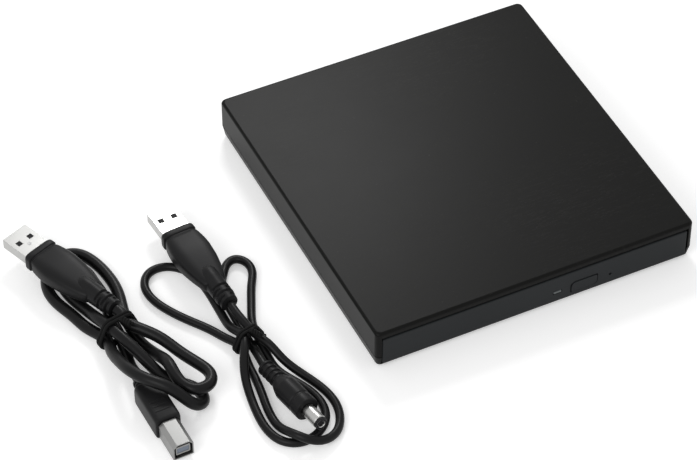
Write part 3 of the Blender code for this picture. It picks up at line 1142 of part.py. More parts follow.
def make_flat_plug(prefix, carrier, finishes):
    """Flat data plug: moulded grip, and a metal shell with its open mouth and two windows."""
    moulded = grip(PLUG_GRIP_SHARES, PLUG_GRIP_LENGTH, PLUG_GRIP_WIDTH, PLUG_GRIP_HEIGHT)
    piece(f"{prefix}_plug_grip", moulded, finishes["rubber"], carrier)
    start = PLUG_GRIP_LENGTH + TOUCH
    end = start + PLUG_SHELL_LENGTH
    half_y, half_z = PLUG_SHELL_WIDTH / 2, PLUG_SHELL_HEIGHT / 2
    shell = block((start, end), (-half_y, half_y), (-half_z, half_z))
    inside = half_y - PLUG_SHELL_WALL
    mouth = block((end - PLUG_POCKET_DEPTH, end + OVERRUN), (-inside, inside),
                  (0.0, half_z - PLUG_SHELL_WALL))
    windows = [block((end - PLUG_WINDOW_SETBACK - PLUG_WINDOW, end - PLUG_WINDOW_SETBACK),
                     (side * PLUG_WINDOW_SIDE - PLUG_WINDOW / 2, side * PLUG_WINDOW_SIDE + PLUG_WINDOW / 2),
                     (half_z - PLUG_WINDOW_DEPTH - PLUG_SHELL_WALL, half_z + OVERRUN)) for side in (-1, 1)]
    piece(f"{prefix}_plug_shell", cut(shell, mouth, *windows), finishes["steel"], carrier)


def make_square_plug(carrier, finishes):
    """Square data plug: moulded grip, and a metal shell whose mouth holds a slotted core."""
    moulded = grip(SQUARE_GRIP_SHARES, SQUARE_GRIP_LENGTH, SQUARE_GRIP_WIDTH, SQUARE_GRIP_HEIGHT)
    piece("square_plug_grip", moulded, finishes["rubber"], carrier)
    start = SQUARE_GRIP_LENGTH + TOUCH
    end = start + SQUARE_PLUG_LENGTH
    wall = SQUARE_PLUG_WALL
    outer = square_outline(0.0, 0.0, SQUARE_PLUG_WIDTH, SQUARE_PLUG_HEIGHT, SQUARE_PLUG_CHAMFER)
    inner = square_outline(0.0, 0.0, SQUARE_PLUG_WIDTH - 2 * wall, SQUARE_PLUG_HEIGHT - 2 * wall,
                           SQUARE_PLUG_CHAMFER - wall / 2)
    core = rounded((-SQUARE_CORE_WIDTH / 2, SQUARE_CORE_WIDTH / 2),
                   (-SQUARE_CORE_HEIGHT / 2, SQUARE_CORE_HEIGHT / 2), wall)
    shell = carried(outer, start, end)
    pocket = cut(carried(inner, end - SQUARE_PLUG_POCKET, end + OVERRUN),
                 carried(core, start, end - SQUARE_PLUG_WALL))
    slot = block((end - SQUARE_PLUG_POCKET, end + OVERRUN),
                 (wall - SQUARE_CORE_WIDTH / 2, SQUARE_CORE_WIDTH / 2 - wall),
                 (-SQUARE_SLOT_HEIGHT / 2, SQUARE_SLOT_HEIGHT / 2))
    piece("square_plug_shell", cut(shell, pocket, slot), finishes["steel"], carrier)


def carried(outline, start, end):
    """An outline in Y and Z, carried along +X."""
    return stack([[(x, y, z) for y, z in outline] for x in (start, end)])


def make_barrel_plug(carrier, finishes):
    """Round power plug: ribbed relief, moulded grip, and a bored metal barrel."""
    relief = BARREL_GRIP_LENGTH * BARREL_RELIEF_SHARE
    rib = relief / (2 * BARREL_RIB_COUNT)
    profile = []
    for index in range(BARREL_RIB_COUNT):
        base = index * 2 * rib
        low = BARREL_RELIEF_RADIUS - TOUCH * 2
        profile += [(BARREL_RELIEF_RADIUS, base), (BARREL_RELIEF_RADIUS, base + rib),
                    (low, base + rib), (low, base + 2 * rib)]
    edge = BARREL_GRIP_RADIUS / 8
    profile += [(BARREL_RELIEF_RADIUS, relief), (BARREL_GRIP_RADIUS - edge, relief + 2 * rib),
                (BARREL_GRIP_RADIUS, relief + 4 * rib), (BARREL_GRIP_RADIUS, BARREL_GRIP_LENGTH - edge),
                (BARREL_GRIP_RADIUS - edge, BARREL_GRIP_LENGTH)]
    piece("barrel_plug_grip", along_x(turned(profile, sides=16)), finishes["rubber"], carrier)
    start = BARREL_GRIP_LENGTH + TOUCH
    end = start + BARREL_LENGTH
    lip = BARREL_RADIUS / 12
    barrel = turned(((BARREL_RADIUS, start), (BARREL_RADIUS, end - BARREL_RING),
                     (BARREL_RADIUS - lip, end - BARREL_RING), (BARREL_RADIUS - lip, end)))
    bore = round_post(BARREL_BORE_RADIUS, end - BARREL_BORE_DEPTH, end + OVERRUN)
    piece("barrel_plug_tip", along_x(cut(barrel, bore)), finishes["steel"], carrier)


def smooth_route(route, step, limit=CORD_RING_LIMIT):
    """Even points on the natural cubic spline through a route given in millimetres."""
    knots = np.array(route) * MM
    spans = np.linalg.norm(np.diff(knots, axis=0), axis=1)
    places = np.concatenate(([0.0], np.cumsum(spans)))
    count = len(knots)
    system = np.eye(count)
    right = np.zeros_like(knots)
    for row in range(1, count - 1):
        before, after = spans[row - 1], spans[row]
        system[row, row - 1:row + 2] = before, 2 * (before + after), after
        right[row] = 6 * ((knots[row + 1] - knots[row]) / after - (knots[row] - knots[row - 1]) / before)
    bend = np.linalg.solve(system, right)
    fine = np.linspace(0.0, places[-1], 40 * count)
    cell = np.clip(np.searchsorted(places, fine, side="right") - 1, 0, count - 2)
    width = spans[cell][:, None]
    ahead = (places[cell + 1] - fine)[:, None]
    behind = (fine - places[cell])[:, None]
    curve = (bend[cell] * ahead ** 3 + bend[cell + 1] * behind ** 3) / (6 * width)
    curve += (knots[cell] / width - bend[cell] * width / 6) * ahead
    curve += (knots[cell + 1] / width - bend[cell + 1] * width / 6) * behind
    run = np.concatenate(([0.0], np.cumsum(np.linalg.norm(np.diff(curve, axis=0), axis=1))))
    even = np.linspace(0.0, run[-1], min(limit, int(run[-1] / step) + 1))
    return np.stack([np.interp(even, run, curve[:, axis]) for axis in range(3)], axis=1), run[-1]


def least_gap(points, diameter):
    """Least free space between stretches of a cord that are not neighbours along it."""
    run = np.concatenate(([0.0], np.cumsum(np.linalg.norm(np.diff(points, axis=0), axis=1))))
    apart = np.linalg.norm(points[:, None] - points[None], axis=2)
    along = np.abs(run[:, None] - run[None])
    return apart[along > 3 * diameter].min() - diameter


def make_cord(name, route, diameter, surface, parent):
    """One unbroken round cord on its route."""
    points, length = smooth_route(route, CORD_STEP_SHARE * diameter)
    dense, _ = smooth_route(route, diameter / 4, limit=CORD_RING_LIMIT * 10)
    print(f"{name}: length {length / MM:.1f} mm, least gap {least_gap(dense, diameter) / MM:.2f} mm")
    curve = bpy.data.curves.new(name, "CURVE")
    curve.dimensions = "3D"
    curve.bevel_depth = diameter / 2
    curve.bevel_resolution = CORD_SIDE_STEPS
    curve.use_fill_caps = True
    spline = curve.splines.new("POLY")
    spline.points.add(len(points) - 1)
    for place, point in zip(spline.points, points):
        place.co = (*point, 1.0)
    spline.use_smooth = True
    curve.materials.append(surface)
    made = bpy.data.objects.new(name, curve)
    bpy.context.scene.collection.objects.link(made)
    made.parent = parent
    return made


def make_tie(name, place, heading, inner, surface, parent):
    """A flat band closed round the waist of a tied lead."""
    half_u, half_z = (value * MM for value in inner)
    corner = half_z / 2
    outer = rounded((-half_u - TIE_THICK, half_u + TIE_THICK), (-half_z - TIE_THICK, half_z + TIE_THICK),
                    corner + TIE_THICK)
    hole = rounded((-half_u, half_u), (-half_z, half_z), corner)
    band = cut(facing(outer, -TIE_WIDTH / 2, TIE_WIDTH / 2),
               facing(hole, -TIE_WIDTH / 2 - OVERRUN, TIE_WIDTH / 2 + OVERRUN))
    made = piece(name, band, surface, parent, [value * MM for value in place])
    made.rotation_euler = (0.0, 0.0, heading - math.pi / 2)
    return made


def make_leads(finishes):
    """The data lead and the power lead, each tied in loops beside the case."""
    data_plug = lay_lead_end("data_plug_end", DATA_PLUG_AT, DATA_PLUG_HEADING)
    make_flat_plug("data", data_plug, finishes)
    square_plug = lay_lead_end("square_plug_end", SQUARE_PLUG_AT, SQUARE_PLUG_HEADING)
    make_square_plug(square_plug, finishes)
    make_cord("data_cord", DATA_ROUTE, DATA_CORD_DIAMETER, finishes["cord"], None)
    make_tie("data_tie", DATA_TIE_AT, DATA_TIE_HEADING, DATA_TIE_HALF, finishes["rubber"], None)
    power_plug = lay_lead_end("power_plug_end", POWER_PLUG_AT, POWER_PLUG_HEADING)
    make_flat_plug("power", power_plug, finishes)
    barrel_plug = lay_lead_end("barrel_plug_end", BARREL_PLUG_AT, BARREL_PLUG_HEADING, BARREL_PLUG_PITCH)
    make_barrel_plug(barrel_plug, finishes)
    make_cord("power_cord", POWER_ROUTE, POWER_CORD_DIAMETER, finishes["cord"], None)
    make_tie("power_tie", POWER_TIE_AT, POWER_TIE_HEADING, POWER_TIE_HALF, finishes["rubber"], None)


def make_drive():
    """The whole drive: the fixed case, then each body that moves in it."""
    finishes = make_finishes()
    case = axis_at("case_frame", (0.0, 0.0, 0.0))
    make_top_cover(case, finishes["shell"])
    make_bottom_cover(case, finishes["shell"])
    make_feet(case, finishes["rubber"])
    make_case_screws(case, finishes["steel"])
    make_chassis(case, finishes["sheet"])
    make_pan_fittings(case, finishes)
    make_rear_bay(case, finishes)
    gliding = axis_at("rail_slide", (0.0, 0.0, 0.0))
    make_rails(case, gliding, finishes["plastic"], finishes["steel"])
    tray = axis_at("tray_slide", (0.0, 0.0, 0.0))
    make_tray(tray, finishes["plastic"])
    make_bezel(tray, finishes["bezel"])
    make_tray_fittings(tray, finishes)
    make_button(axis_at("button_slide", (BUTTON_X, BEZEL_FRONT, BUTTON_Z), parent=tray), finishes["bezel"])
    make_latch(axis_at("latch_axis", (*latch_pivot(), 0.0), parent=tray), finishes["steel"])
    mechanism = axis_at("mechanism_frame", (0.0, DISC_Y, DRIVE_UNDER), MECHANISM_TURN, tray)
    make_mechanism_frame(mechanism, finishes)
    make_spindle(axis_at("spindle_axis", (0.0, 0.0, 0.0), parent=mechanism), finishes)
    sled = axis_at("sled_slide", (LENS_START, 0.0, 0.0), parent=mechanism)
    lens = axis_at("focus_slide", (0.0, 0.0, 0.0), parent=sled)
    screw = axis_at("lead_screw_axis", (0.0, -SCREW_SIDE, screw_axis_z()), parent=mechanism)
    make_sled(sled, lens, screw, finishes)
    make_leads(finishes)


clear_scene()
make_drive()
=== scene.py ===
"""Dressed model of a slim external disc drive with its tied data and power leads.

Lengths are in metres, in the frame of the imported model: +Z up, +Y to the back and
+X to the right seen from the tray's front.  Each sub-assembly is a class with its
sizes as fields, each finish is a frozen dataclass that builds its own material, and
new pieces are surfaces worked out with numpy.
"""
import logging
import math
from dataclasses import dataclass, field
from enum import Enum

import bmesh
import bpy
import mathutils
import numpy as np
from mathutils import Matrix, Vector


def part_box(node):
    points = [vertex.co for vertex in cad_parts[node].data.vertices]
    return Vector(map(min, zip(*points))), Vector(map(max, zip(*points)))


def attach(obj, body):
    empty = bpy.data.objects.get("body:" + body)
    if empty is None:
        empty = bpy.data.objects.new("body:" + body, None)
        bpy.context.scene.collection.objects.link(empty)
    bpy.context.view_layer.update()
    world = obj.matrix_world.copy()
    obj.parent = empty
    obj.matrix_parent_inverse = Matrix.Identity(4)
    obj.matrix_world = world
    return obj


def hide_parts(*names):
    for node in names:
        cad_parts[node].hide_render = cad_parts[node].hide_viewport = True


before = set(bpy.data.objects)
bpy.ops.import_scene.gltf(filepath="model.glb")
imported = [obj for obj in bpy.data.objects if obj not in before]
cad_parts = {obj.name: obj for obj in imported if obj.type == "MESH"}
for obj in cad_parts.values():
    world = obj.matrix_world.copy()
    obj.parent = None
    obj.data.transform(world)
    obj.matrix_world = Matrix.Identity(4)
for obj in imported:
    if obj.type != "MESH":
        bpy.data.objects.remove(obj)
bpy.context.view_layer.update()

LOG = logging.getLogger("drive")
MM = 0.001

# Where the camera stood for the photograph
CAMERA_PLACE = (-0.4234, -0.7890, 0.8898)
CAMERA_AZIMUTH = math.radians(-25.53)
CAMERA_ELEVATION = math.radians(45.52)
CAMERA_ROLL = math.radians(-0.29)
CAMERA_LENS_MM = 159.69
SENSOR_WIDTH_MM = 36.0

# Axis of the spindle, height where the disc sits, and the heading of the sled's travel
DISC_CENTRE = (0.0, -0.0055)
DISC_SEAT = 10.25 * MM
MECHANISM_TURN = math.radians(-45.0)


class Body(str, Enum):
    """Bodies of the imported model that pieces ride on."""

    CASE = "root"
    RAILS = "rails"
    TRAY = "tray"
    BUTTON = "button"
    LATCH = "latch"
    SPINDLE = "spindle"
    SLED = "sled"
    LENS = "lens"
    SCREW = "screw"


class Edge(Enum):
    """How round the edges of a softened piece are: width in metres and segments."""

    CASE = (0.55 * MM, 3)
    FRONT = (0.35 * MM, 3)
    PLUG = (0.30 * MM, 3)
    MOULDED = (0.20 * MM, 2)
    SHEET = (0.10 * MM, 1)


# Shader groups: each is built once and placed in the finishes with its own values


def new_group(name: str, inputs: dict[str, float], outputs: dict[str, str]) -> bpy.types.NodeTree:
    """An empty shader group with a vector input, named values and named outputs.

    Args:
        name: name of the group.
        inputs: values that each finish sets, by socket name.
        outputs: socket type of each output, by socket name.

    Returns:
        The group's node tree.
    """
    tree = bpy.data.node_groups.new(name, "ShaderNodeTree")
    tree.interface.new_socket("Place", in_out="INPUT", socket_type="NodeSocketVector")
    for label, value in inputs.items():
        tree.interface.new_socket(label, in_out="INPUT", socket_type="NodeSocketFloat").default_value = value
    for label, kind in outputs.items():
        tree.interface.new_socket(label, in_out="OUTPUT", socket_type=kind)
    return tree


@dataclass
class Wiring:
    """Short ways to add and join nodes in one node tree."""

    tree: bpy.types.NodeTree

    def add(self, kind: str, **settings: object) -> bpy.types.Node:
        """Add a node; settings are its properties."""
        node = self.tree.nodes.new(kind)
        for label, value in settings.items():
            setattr(node, label, value)
        return node

    def join(self, source: bpy.types.NodeSocket, target: bpy.types.NodeSocket) -> None:
        """Join two sockets."""
        self.tree.links.new(source, target)

    def math(self, operation: str, left: object, right: object = 0.0) -> bpy.types.NodeSocket:
        """A Math node on sockets or plain values; gives its output socket."""
        node = self.add("ShaderNodeMath", operation=operation)
        for socket, value in zip(node.inputs, (left, right)):
            if isinstance(value, bpy.types.NodeSocket):
                self.join(value, socket)
            else:
                socket.default_value = float(value)
        return node.outputs[0]

    def noise(self, place: bpy.types.NodeSocket, scale: object, detail: float = 4.0,
              roughness: float = 0.55) -> bpy.types.NodeSocket:
        """Fractal noise on a place; gives its factor socket."""
        node = self.add("ShaderNodeTexNoise")
        node.inputs["Detail"].default_value = detail
        node.inputs["Roughness"].default_value = roughness
        self.join(place, node.inputs["Vector"])
        if isinstance(scale, bpy.types.NodeSocket):
            self.join(scale, node.inputs["Scale"])
        else:
            node.inputs["Scale"].default_value = scale
        return node.outputs[0]

    def ramp(self, value: bpy.types.NodeSocket, low: float, high: float,
             start: object = 0.0, end: object = 1.0) -> bpy.types.NodeSocket:
        """Map a value from low..high to start..end, clamped; gives the result socket."""
        node = self.add("ShaderNodeMapRange")
        self.join(value, node.inputs["Value"])
        node.inputs["From Min"].default_value = low
        node.inputs["From Max"].default_value = high
        for label, limit in (("To Min", start), ("To Max", end)):
            if isinstance(limit, bpy.types.NodeSocket):
                self.join(limit, node.inputs[label])
            else:
                node.inputs[label].default_value = limit
        return node.outputs["Result"]


def grain_group() -> bpy.types.NodeTree:
    """Fine moulded texture: two noises give a height, and a slow one a change of shade."""
    tree = new_group("fine_grain", {"Scale": 2200.0, "Patch Scale": 26.0},
                     {"Height": "NodeSocketFloat", "Patch": "NodeSocketFloat"})
    wires = Wiring(tree)
    given, result = wires.add("NodeGroupInput"), wires.add("NodeGroupOutput")
    place = given.outputs["Place"]
    fine = wires.noise(place, given.outputs["Scale"], 2.0)
    coarse = wires.noise(place, wires.math("MULTIPLY", given.outputs["Scale"], 0.31), 2.0)
    wires.join(wires.math("ADD", fine, wires.math("MULTIPLY", coarse, 0.6)), result.inputs["Height"])
    wires.join(wires.noise(place, given.outputs["Patch Scale"], 3.0), result.inputs["Patch"])
    return tree


def scuff_group() -> bpy.types.NodeTree:
    """Handling marks: long thin streaks where a stretched noise crosses its middle value."""
    tree = new_group("handling_marks", {"Scale": 60.0, "Amount": 0.3}, {"Mask": "NodeSocketFloat"})
    wires = Wiring(tree)
    given, result = wires.add("NodeGroupInput"), wires.add("NodeGroupOutput")
    turned = wires.add("ShaderNodeMapping")
    turned.inputs["Rotation"].default_value = (0.0, 0.0, math.radians(31.0))
    turned.inputs["Scale"].default_value = (1.0, 7.0, 1.0)
    wires.join(given.outputs["Place"], turned.inputs["Vector"])
    streak = wires.noise(turned.outputs[0], given.outputs["Scale"], 5.0, 0.65)
    near = wires.math("ABSOLUTE", wires.math("SUBTRACT", streak, 0.5))
    line = wires.ramp(near, 0.0, 0.012, 1.0, 0.0)
    spread = wires.ramp(wires.noise(given.outputs["Place"], 14.0, 2.0), 0.5, 0.68)
    wires.join(wires.math("MULTIPLY", wires.math("MULTIPLY", line, spread), given.outputs["Amount"]),
               result.inputs["Mask"])
    return tree


def dust_group() -> bpy.types.NodeTree:
    """Settled dust: specks on faces that look up, from a sparse noise."""
    tree = new_group("settled_dust", {"Scale": 900.0, "Amount": 0.2}, {"Mask": "NodeSocketFloat"})
    wires = Wiring(tree)
    given, result = wires.add("NodeGroupInput"), wires.add("NodeGroupOutput")
    faces = wires.add("ShaderNodeNewGeometry")
    split = wires.add("ShaderNodeSeparateXYZ")
    wires.join(faces.outputs["Normal"], split.inputs[0])
    upward = wires.ramp(split.outputs["Z"], 0.4, 0.95)
    speck = wires.ramp(wires.noise(given.outputs["Place"], given.outputs["Scale"], 3.0, 0.7), 0.66, 0.78)
    wires.join(wires.math("MULTIPLY", wires.math("MULTIPLY", speck, upward), given.outputs["Amount"]),
               result.inputs["Mask"])
    return tree


def brushed_group() -> bpy.types.NodeTree:
    """Rolling marks of sheet metal: noise drawn out along one axis."""
    tree = new_group("rolling_marks", {"Scale": 900.0, "Draw": 0.02}, {"Height": "NodeSocketFloat"})
    wires = Wiring(tree)
    given, result = wires.add("NodeGroupInput"), wires.add("NodeGroupOutput")
    split, drawn = wires.add("ShaderNodeSeparateXYZ"), wires.add("ShaderNodeCombineXYZ")
    wires.join(given.outputs["Place"], split.inputs[0])
    wires.join(split.outputs["X"], drawn.inputs["X"])
    wires.join(wires.math("MULTIPLY", split.outputs["Y"], given.outputs["Draw"]), drawn.inputs["Y"])
    wires.join(split.outputs["Z"], drawn.inputs["Z"])
    wires.join(wires.noise(drawn.outputs[0], given.outputs["Scale"], 3.0), result.inputs["Height"])
    return tree


GROUPS = {"grain": grain_group(), "scuff": scuff_group(), "dust": dust_group(), "brushed": brushed_group()}


@dataclass(frozen=True)
class Finish:
    """A surface: its colour, how it shines, and the fine texture and wear that it shows.

    slot names the record's material slot.  light is the colour of worn marks and dust.
    """

    name: str
    slot: str
    colour: tuple[float, float, float]
    roughness: float
    metallic: float = 0.0
    specular: float = 0.5
    coat: float = 0.0
    patch: float = 0.12
    grain_scale: float = 2200.0
    grain_depth: float = 0.00002
    scuffs: float = 0.0
    dust: float = 0.0
    light: tuple[float, float, float] = (0.30, 0.29, 0.28)
    brushed: float = 0.0

    def place(self, wires: Wiring) -> bpy.types.NodeSocket:
        """Object coordinates of the surface."""
        return wires.add("ShaderNodeTexCoord").outputs["Object"]

    def apply(self, wires: Wiring, kind: str, place: bpy.types.NodeSocket, **values: float) -> bpy.types.Node:
        """Place one shared group with this finish's values."""
        node = wires.add("ShaderNodeGroup", node_tree=GROUPS[kind])
        wires.join(place, node.inputs["Place"])
        for label, value in values.items():
            node.inputs[label.replace("_", " ")].default_value = value
        return node

    def shade(self, wires: Wiring, place: bpy.types.NodeSocket, patch: bpy.types.NodeSocket
              ) -> bpy.types.NodeSocket:
        """Base colour: slow patches lighten and darken the written colour."""
        low, high = 1.0 - self.patch, 1.0 + self.patch
        mix = wires.add("ShaderNodeMix", data_type="RGBA")
        wires.join(wires.ramp(patch, 0.3, 0.7), mix.inputs["Factor"])
        mix.inputs["A"].default_value = (*[value * low for value in self.colour], 1.0)
        mix.inputs["B"].default_value = (*[min(1.0, value * high) for value in self.colour], 1.0)
        return mix.outputs["Result"]

    def build(self) -> bpy.types.Material:
        """Make the material with its node tree.

        Returns:
            The finished material.
        """
        made = bpy.data.materials.new(self.name)
        made.use_nodes = True
        wires = Wiring(made.node_tree)
        shader = made.node_tree.nodes["Principled BSDF"]
        for label, value in (("Metallic", self.metallic), ("Specular IOR Level", self.specular),
                             ("Coat Weight", self.coat)):
            shader.inputs[label].default_value = value
        place = self.place(wires)
        grain = self.apply(wires, "grain", place, Scale=self.grain_scale)
        colour = self.shade(wires, place, grain.outputs["Patch"])
        worn = None
        for kind, amount in (("scuff", self.scuffs), ("dust", self.dust)):
            if amount <= 0.0:
                continue
            mask = self.apply(wires, kind, place, Amount=amount).outputs["Mask"]
            worn = mask if worn is None else wires.math("MAXIMUM", worn, mask)
        if worn is not None:
            over = wires.add("ShaderNodeMix", data_type="RGBA")
            wires.join(worn, over.inputs["Factor"])
            wires.join(colour, over.inputs["A"])
            over.inputs["B"].default_value = (*self.light, 1.0)
            colour = over.outputs["Result"]
        wires.join(colour, shader.inputs["Base Color"])
        spread = wires.ramp(grain.outputs["Patch"], 0.3, 0.7, self.roughness * (1.0 - self.patch),
                            min(1.0, self.roughness * (1.0 + self.patch)))
        wires.join(spread, shader.inputs["Roughness"])
        height = grain.outputs["Height"]
        if self.brushed > 0.0:
            marks = self.apply(wires, "brushed", place)
            height = wires.math("ADD", height, wires.math("MULTIPLY", marks.outputs["Height"], self.brushed))
        bump = wires.add("ShaderNodeBump")
        bump.inputs["Strength"].default_value = 1.0
        bump.inputs["Distance"].default_value = self.grain_depth
        wires.join(height, bump.inputs["Height"])
        wires.join(bump.outputs[0], shader.inputs["Normal"])
        return made


@dataclass(frozen=True)
class BoardFinish(Finish):
    """Circuit board: solder mask with lighter copper tracks on a fine grid."""

    track: tuple[float, float, float] = (0.035, 0.20, 0.085)

    def shade(self, wires: Wiring, place: bpy.types.NodeSocket, patch: bpy.types.NodeSocket
              ) -> bpy.types.NodeSocket:
        """Base colour: bricks of unlike length stand for the tracks between pads."""
        bricks = wires.add("ShaderNodeTexBrick")
        wires.join(place, bricks.inputs["Vector"])
        for label, value in (("Scale", 420.0), ("Mortar Size", 0.06), ("Bias", -0.2), ("Brick Width", 1.7),
                             ("Row Height", 0.42)):
            bricks.inputs[label].default_value = value
        bricks.inputs["Color1"].default_value = (*self.colour, 1.0)
        bricks.inputs["Color2"].default_value = (*[value * 1.25 for value in self.colour], 1.0)
        bricks.inputs["Mortar"].default_value = (*self.track, 1.0)
        return bricks.outputs["Color"]


@dataclass(frozen=True)
class StripedFinish(Finish):
    """Flat cable: pale film over dark conductors that run along it."""

    stripe: tuple[float, float, float] = (0.32, 0.30, 0.24)
    pitch: float = 1.0 * MM

    def shade(self, wires: Wiring, place: bpy.types.NodeSocket, patch: bpy.types.NodeSocket
              ) -> bpy.types.NodeSocket:
        """Base colour: a sine of the place across the film picks film or conductor."""
        split = wires.add("ShaderNodeSeparateXYZ")
        wires.join(place, split.inputs[0])
        wave = wires.math("SINE", wires.math("MULTIPLY", split.outputs["X"], math.tau / self.pitch))
        mix = wires.add("ShaderNodeMix", data_type="RGBA")
        wires.join(wires.ramp(wave, -0.2, 0.2), mix.inputs["Factor"])
        mix.inputs["A"].default_value = (*self.colour, 1.0)
        mix.inputs["B"].default_value = (*self.stripe, 1.0)
        return mix.outputs["Result"]


class Surface(Enum):
    """Every finish of the drive and its leads."""

    SHELL = Finish("case_matte_black", "matte_black_shell", (0.0050, 0.0050, 0.0046), 0.37, specular=0.080,
                   patch=0.025, grain_depth=0.000012, scuffs=0.04, dust=0.08)
    BEZEL = Finish("front_satin_black", "bezel_black", (0.0250, 0.0270, 0.0285), 0.42, specular=0.08,
                   patch=0.05, grain_depth=0.000006, dust=0.05)
    TRAY = Finish("tray_moulded_black", "tray_black", (0.034, 0.034, 0.036), 0.48, specular=0.4,
                  patch=0.08, scuffs=0.08, dust=0.05)
    SHEET = Finish("plated_sheet", "zinc_sheet", (0.56, 0.57, 0.58), 0.36, metallic=1.0, patch=0.05,
                   grain_depth=0.000004, scuffs=0.15, brushed=1.5, light=(0.75, 0.75, 0.76))
    BRIGHT = Finish("bright_plated_steel", "bright_steel", (0.44, 0.44, 0.43), 0.28, metallic=1.0,
                    patch=0.03, grain_depth=0.000001, scuffs=0.2, light=(0.55, 0.55, 0.56))
    # A darker copy of the bright steel: painted shade for the small dimple on the flat plug shells
    STEEL_PAINTED_SHADE = Finish("steel_painted_shade", "bright_steel", (0.30, 0.30, 0.30), 0.35, metallic=1.0, patch=0.03,
                        grain_depth=0.000001)
    NICKEL = Finish("dull_nickel", "bright_steel", (0.27, 0.27, 0.265), 0.40, metallic=1.0, patch=0.05,
                    grain_depth=0.000001)
    ROD = Finish("ground_steel_rod", "bright_steel", (0.70, 0.70, 0.71), 0.20, metallic=1.0, patch=0.03,
                 grain_depth=0.000001, brushed=1.0)
    RUBBER = Finish("soft_black_rubber", "rubber_black", (0.007, 0.007, 0.007), 0.70, specular=0.1,
                    patch=0.15, dust=0.2)
    GRIP = Finish("plug_grip_black", "rubber_black", (0.010, 0.010, 0.0105), 0.40, specular=0.12,
                  patch=0.08, grain_depth=0.00001, dust=0.06)
    CORD = Finish("cord_jacket_black", "cord_black", (0.006, 0.006, 0.0063), 0.34, specular=0.14,
                  patch=0.10, grain_depth=0.000006, grain_scale=900.0)
    BOARD = BoardFinish("circuit_board_green", "board_green", (0.015, 0.105, 0.045), 0.42, coat=0.2)
    CHIP = Finish("chip_package", "chip_black", (0.024, 0.024, 0.026), 0.45, patch=0.1)
    LAMP = Finish("lamp_light_guide", "lamp_clear", (0.10, 0.115, 0.115), 0.30, coat=0.1, patch=0.04)
    LENS = Finish("coated_lens", "lens_blue", (0.10, 0.14, 0.26), 0.06, coat=1.0, patch=0.2,
                  grain_depth=0.0000005)
    BRASS = Finish("turned_brass", "brass", (0.72, 0.52, 0.22), 0.28, metallic=1.0, patch=0.06, brushed=1.0)
    IVORY = Finish("ivory_moulding", "ivory_plastic", (0.70, 0.68, 0.62), 0.45, patch=0.05)
    FILM = StripedFinish("ribbon_film", "ribbon_film", (0.74, 0.73, 0.68), 0.35, coat=0.3)
    # Real black plastic on most parts, and painted shade where it makes the plates under the plug windows
    BLACK_AND_SHADE = Finish("black_moulding_and_painted_shade", "chip_black", (0.008, 0.008, 0.009), 0.6, specular=0.2, patch=0.1)
    GOLD = Finish("gilded_contact", "brass", (0.83, 0.62, 0.26), 0.2, metallic=1.0, patch=0.03)
    CORE = Finish("plug_core_grey_blue", "ivory_plastic", (0.16, 0.19, 0.24), 0.4, patch=0.05)


@dataclass
class Paint:
    """Materials made so far, one for each finish."""

    made: dict[str, bpy.types.Material] = field(default_factory=dict)

    def __call__(self, surface: Surface) -> bpy.types.Material:
        """The material of a finish, made once."""
        if surface.name not in self.made:
            self.made[surface.name] = surface.value.build()
        return self.made[surface.name]


PAINT = Paint()


# Surfaces: points worked out as whole arrays, then put into meshes


def lattice(name: str, points: np.ndarray, wrap: bool = True, capped: bool = True) -> bpy.types.Object:
    """A mesh over a grid of points: rows along the first parameter, rings round the second.

    Args:
        name: name of the piece.
        points: array of rows by ring points by three.
        wrap: whether each row closes on itself.
        capped: whether the first and last row are closed with a fan to their middle.

    Returns:
        The new object at the origin.
    """
    rows, count = points.shape[:2]
    steps = count if wrap else count - 1
    row, column = np.meshgrid(np.arange(rows - 1), np.arange(steps), indexing="ij")
    after = (column + 1) % count
    faces = np.stack([row * count + column, row * count + after, (row + 1) * count + after,
                      (row + 1) * count + column], axis=-1).reshape(-1, 4).tolist()
    verts = points.reshape(-1, 3)
    if capped and wrap:
        middles = points[[0, -1]].mean(axis=1)
        ring, ahead = np.arange(count), (np.arange(count) + 1) % count
        first, last = rows * count, rows * count + 1
        top = (rows - 1) * count
        faces += np.stack([np.full(count, first), ahead, ring], axis=1).tolist()
        faces += np.stack([np.full(count, last), ring + top, ahead + top], axis=1).tolist()
        verts = np.concatenate([verts, middles])
    return solid(name, verts, faces)


def solid(name: str, verts: np.ndarray, faces: list[list[int]]) -> bpy.types.Object:
    """An object at the origin from points and faces, with its faces turned outwards."""
    mesh = bpy.data.meshes.new(name)
    mesh.from_pydata(verts.tolist(), [], faces)
    work = bmesh.new()
    work.from_mesh(mesh)
    bmesh.ops.remove_doubles(work, verts=work.verts, dist=1e-7)
    bmesh.ops.recalc_face_normals(work, faces=work.faces)
    work.to_mesh(mesh)
    work.free()
    made = bpy.data.objects.new(name, mesh)
    bpy.context.scene.collection.objects.link(made)
    return made


def ring_angles(count: int) -> np.ndarray:
    """Angles of a ring's points, evenly spread."""
    return np.linspace(0.0, math.tau, count, endpoint=False)


def superellipse(half_width: np.ndarray, half_height: np.ndarray, power: np.ndarray,
                 count: int) -> np.ndarray:
    """Sections |y/w|^p + |z/h|^p = 1, one row for each place; p of 2 is an ellipse.

    Args:
        half_width: half width of each section.
        half_height: half height of each section.
        power: squareness of each section.
        count: points round a section.

    Returns:
        Array of sections by points by two.
    """
    angle = ring_angles(count)[None, :]
    across, up = np.cos(angle), np.sin(angle)
    share = 2.0 / power[:, None]
    return np.stack([np.sign(across) * np.abs(across) ** share * half_width[:, None],
                     np.sign(up) * np.abs(up) ** share * half_height[:, None]], axis=-1)


def lathe(profile: list[tuple[float, float]], count: int = 48) -> np.ndarray:
    """A profile of (radius, height) carried round +Z: rows by ring points by three."""
    angle = ring_angles(count)[None, :]
    radius, height = (np.array([point[axis] for point in profile])[:, None] for axis in (0, 1))
    return np.stack([radius * np.cos(angle), radius * np.sin(angle), height + 0.0 * angle], axis=-1)


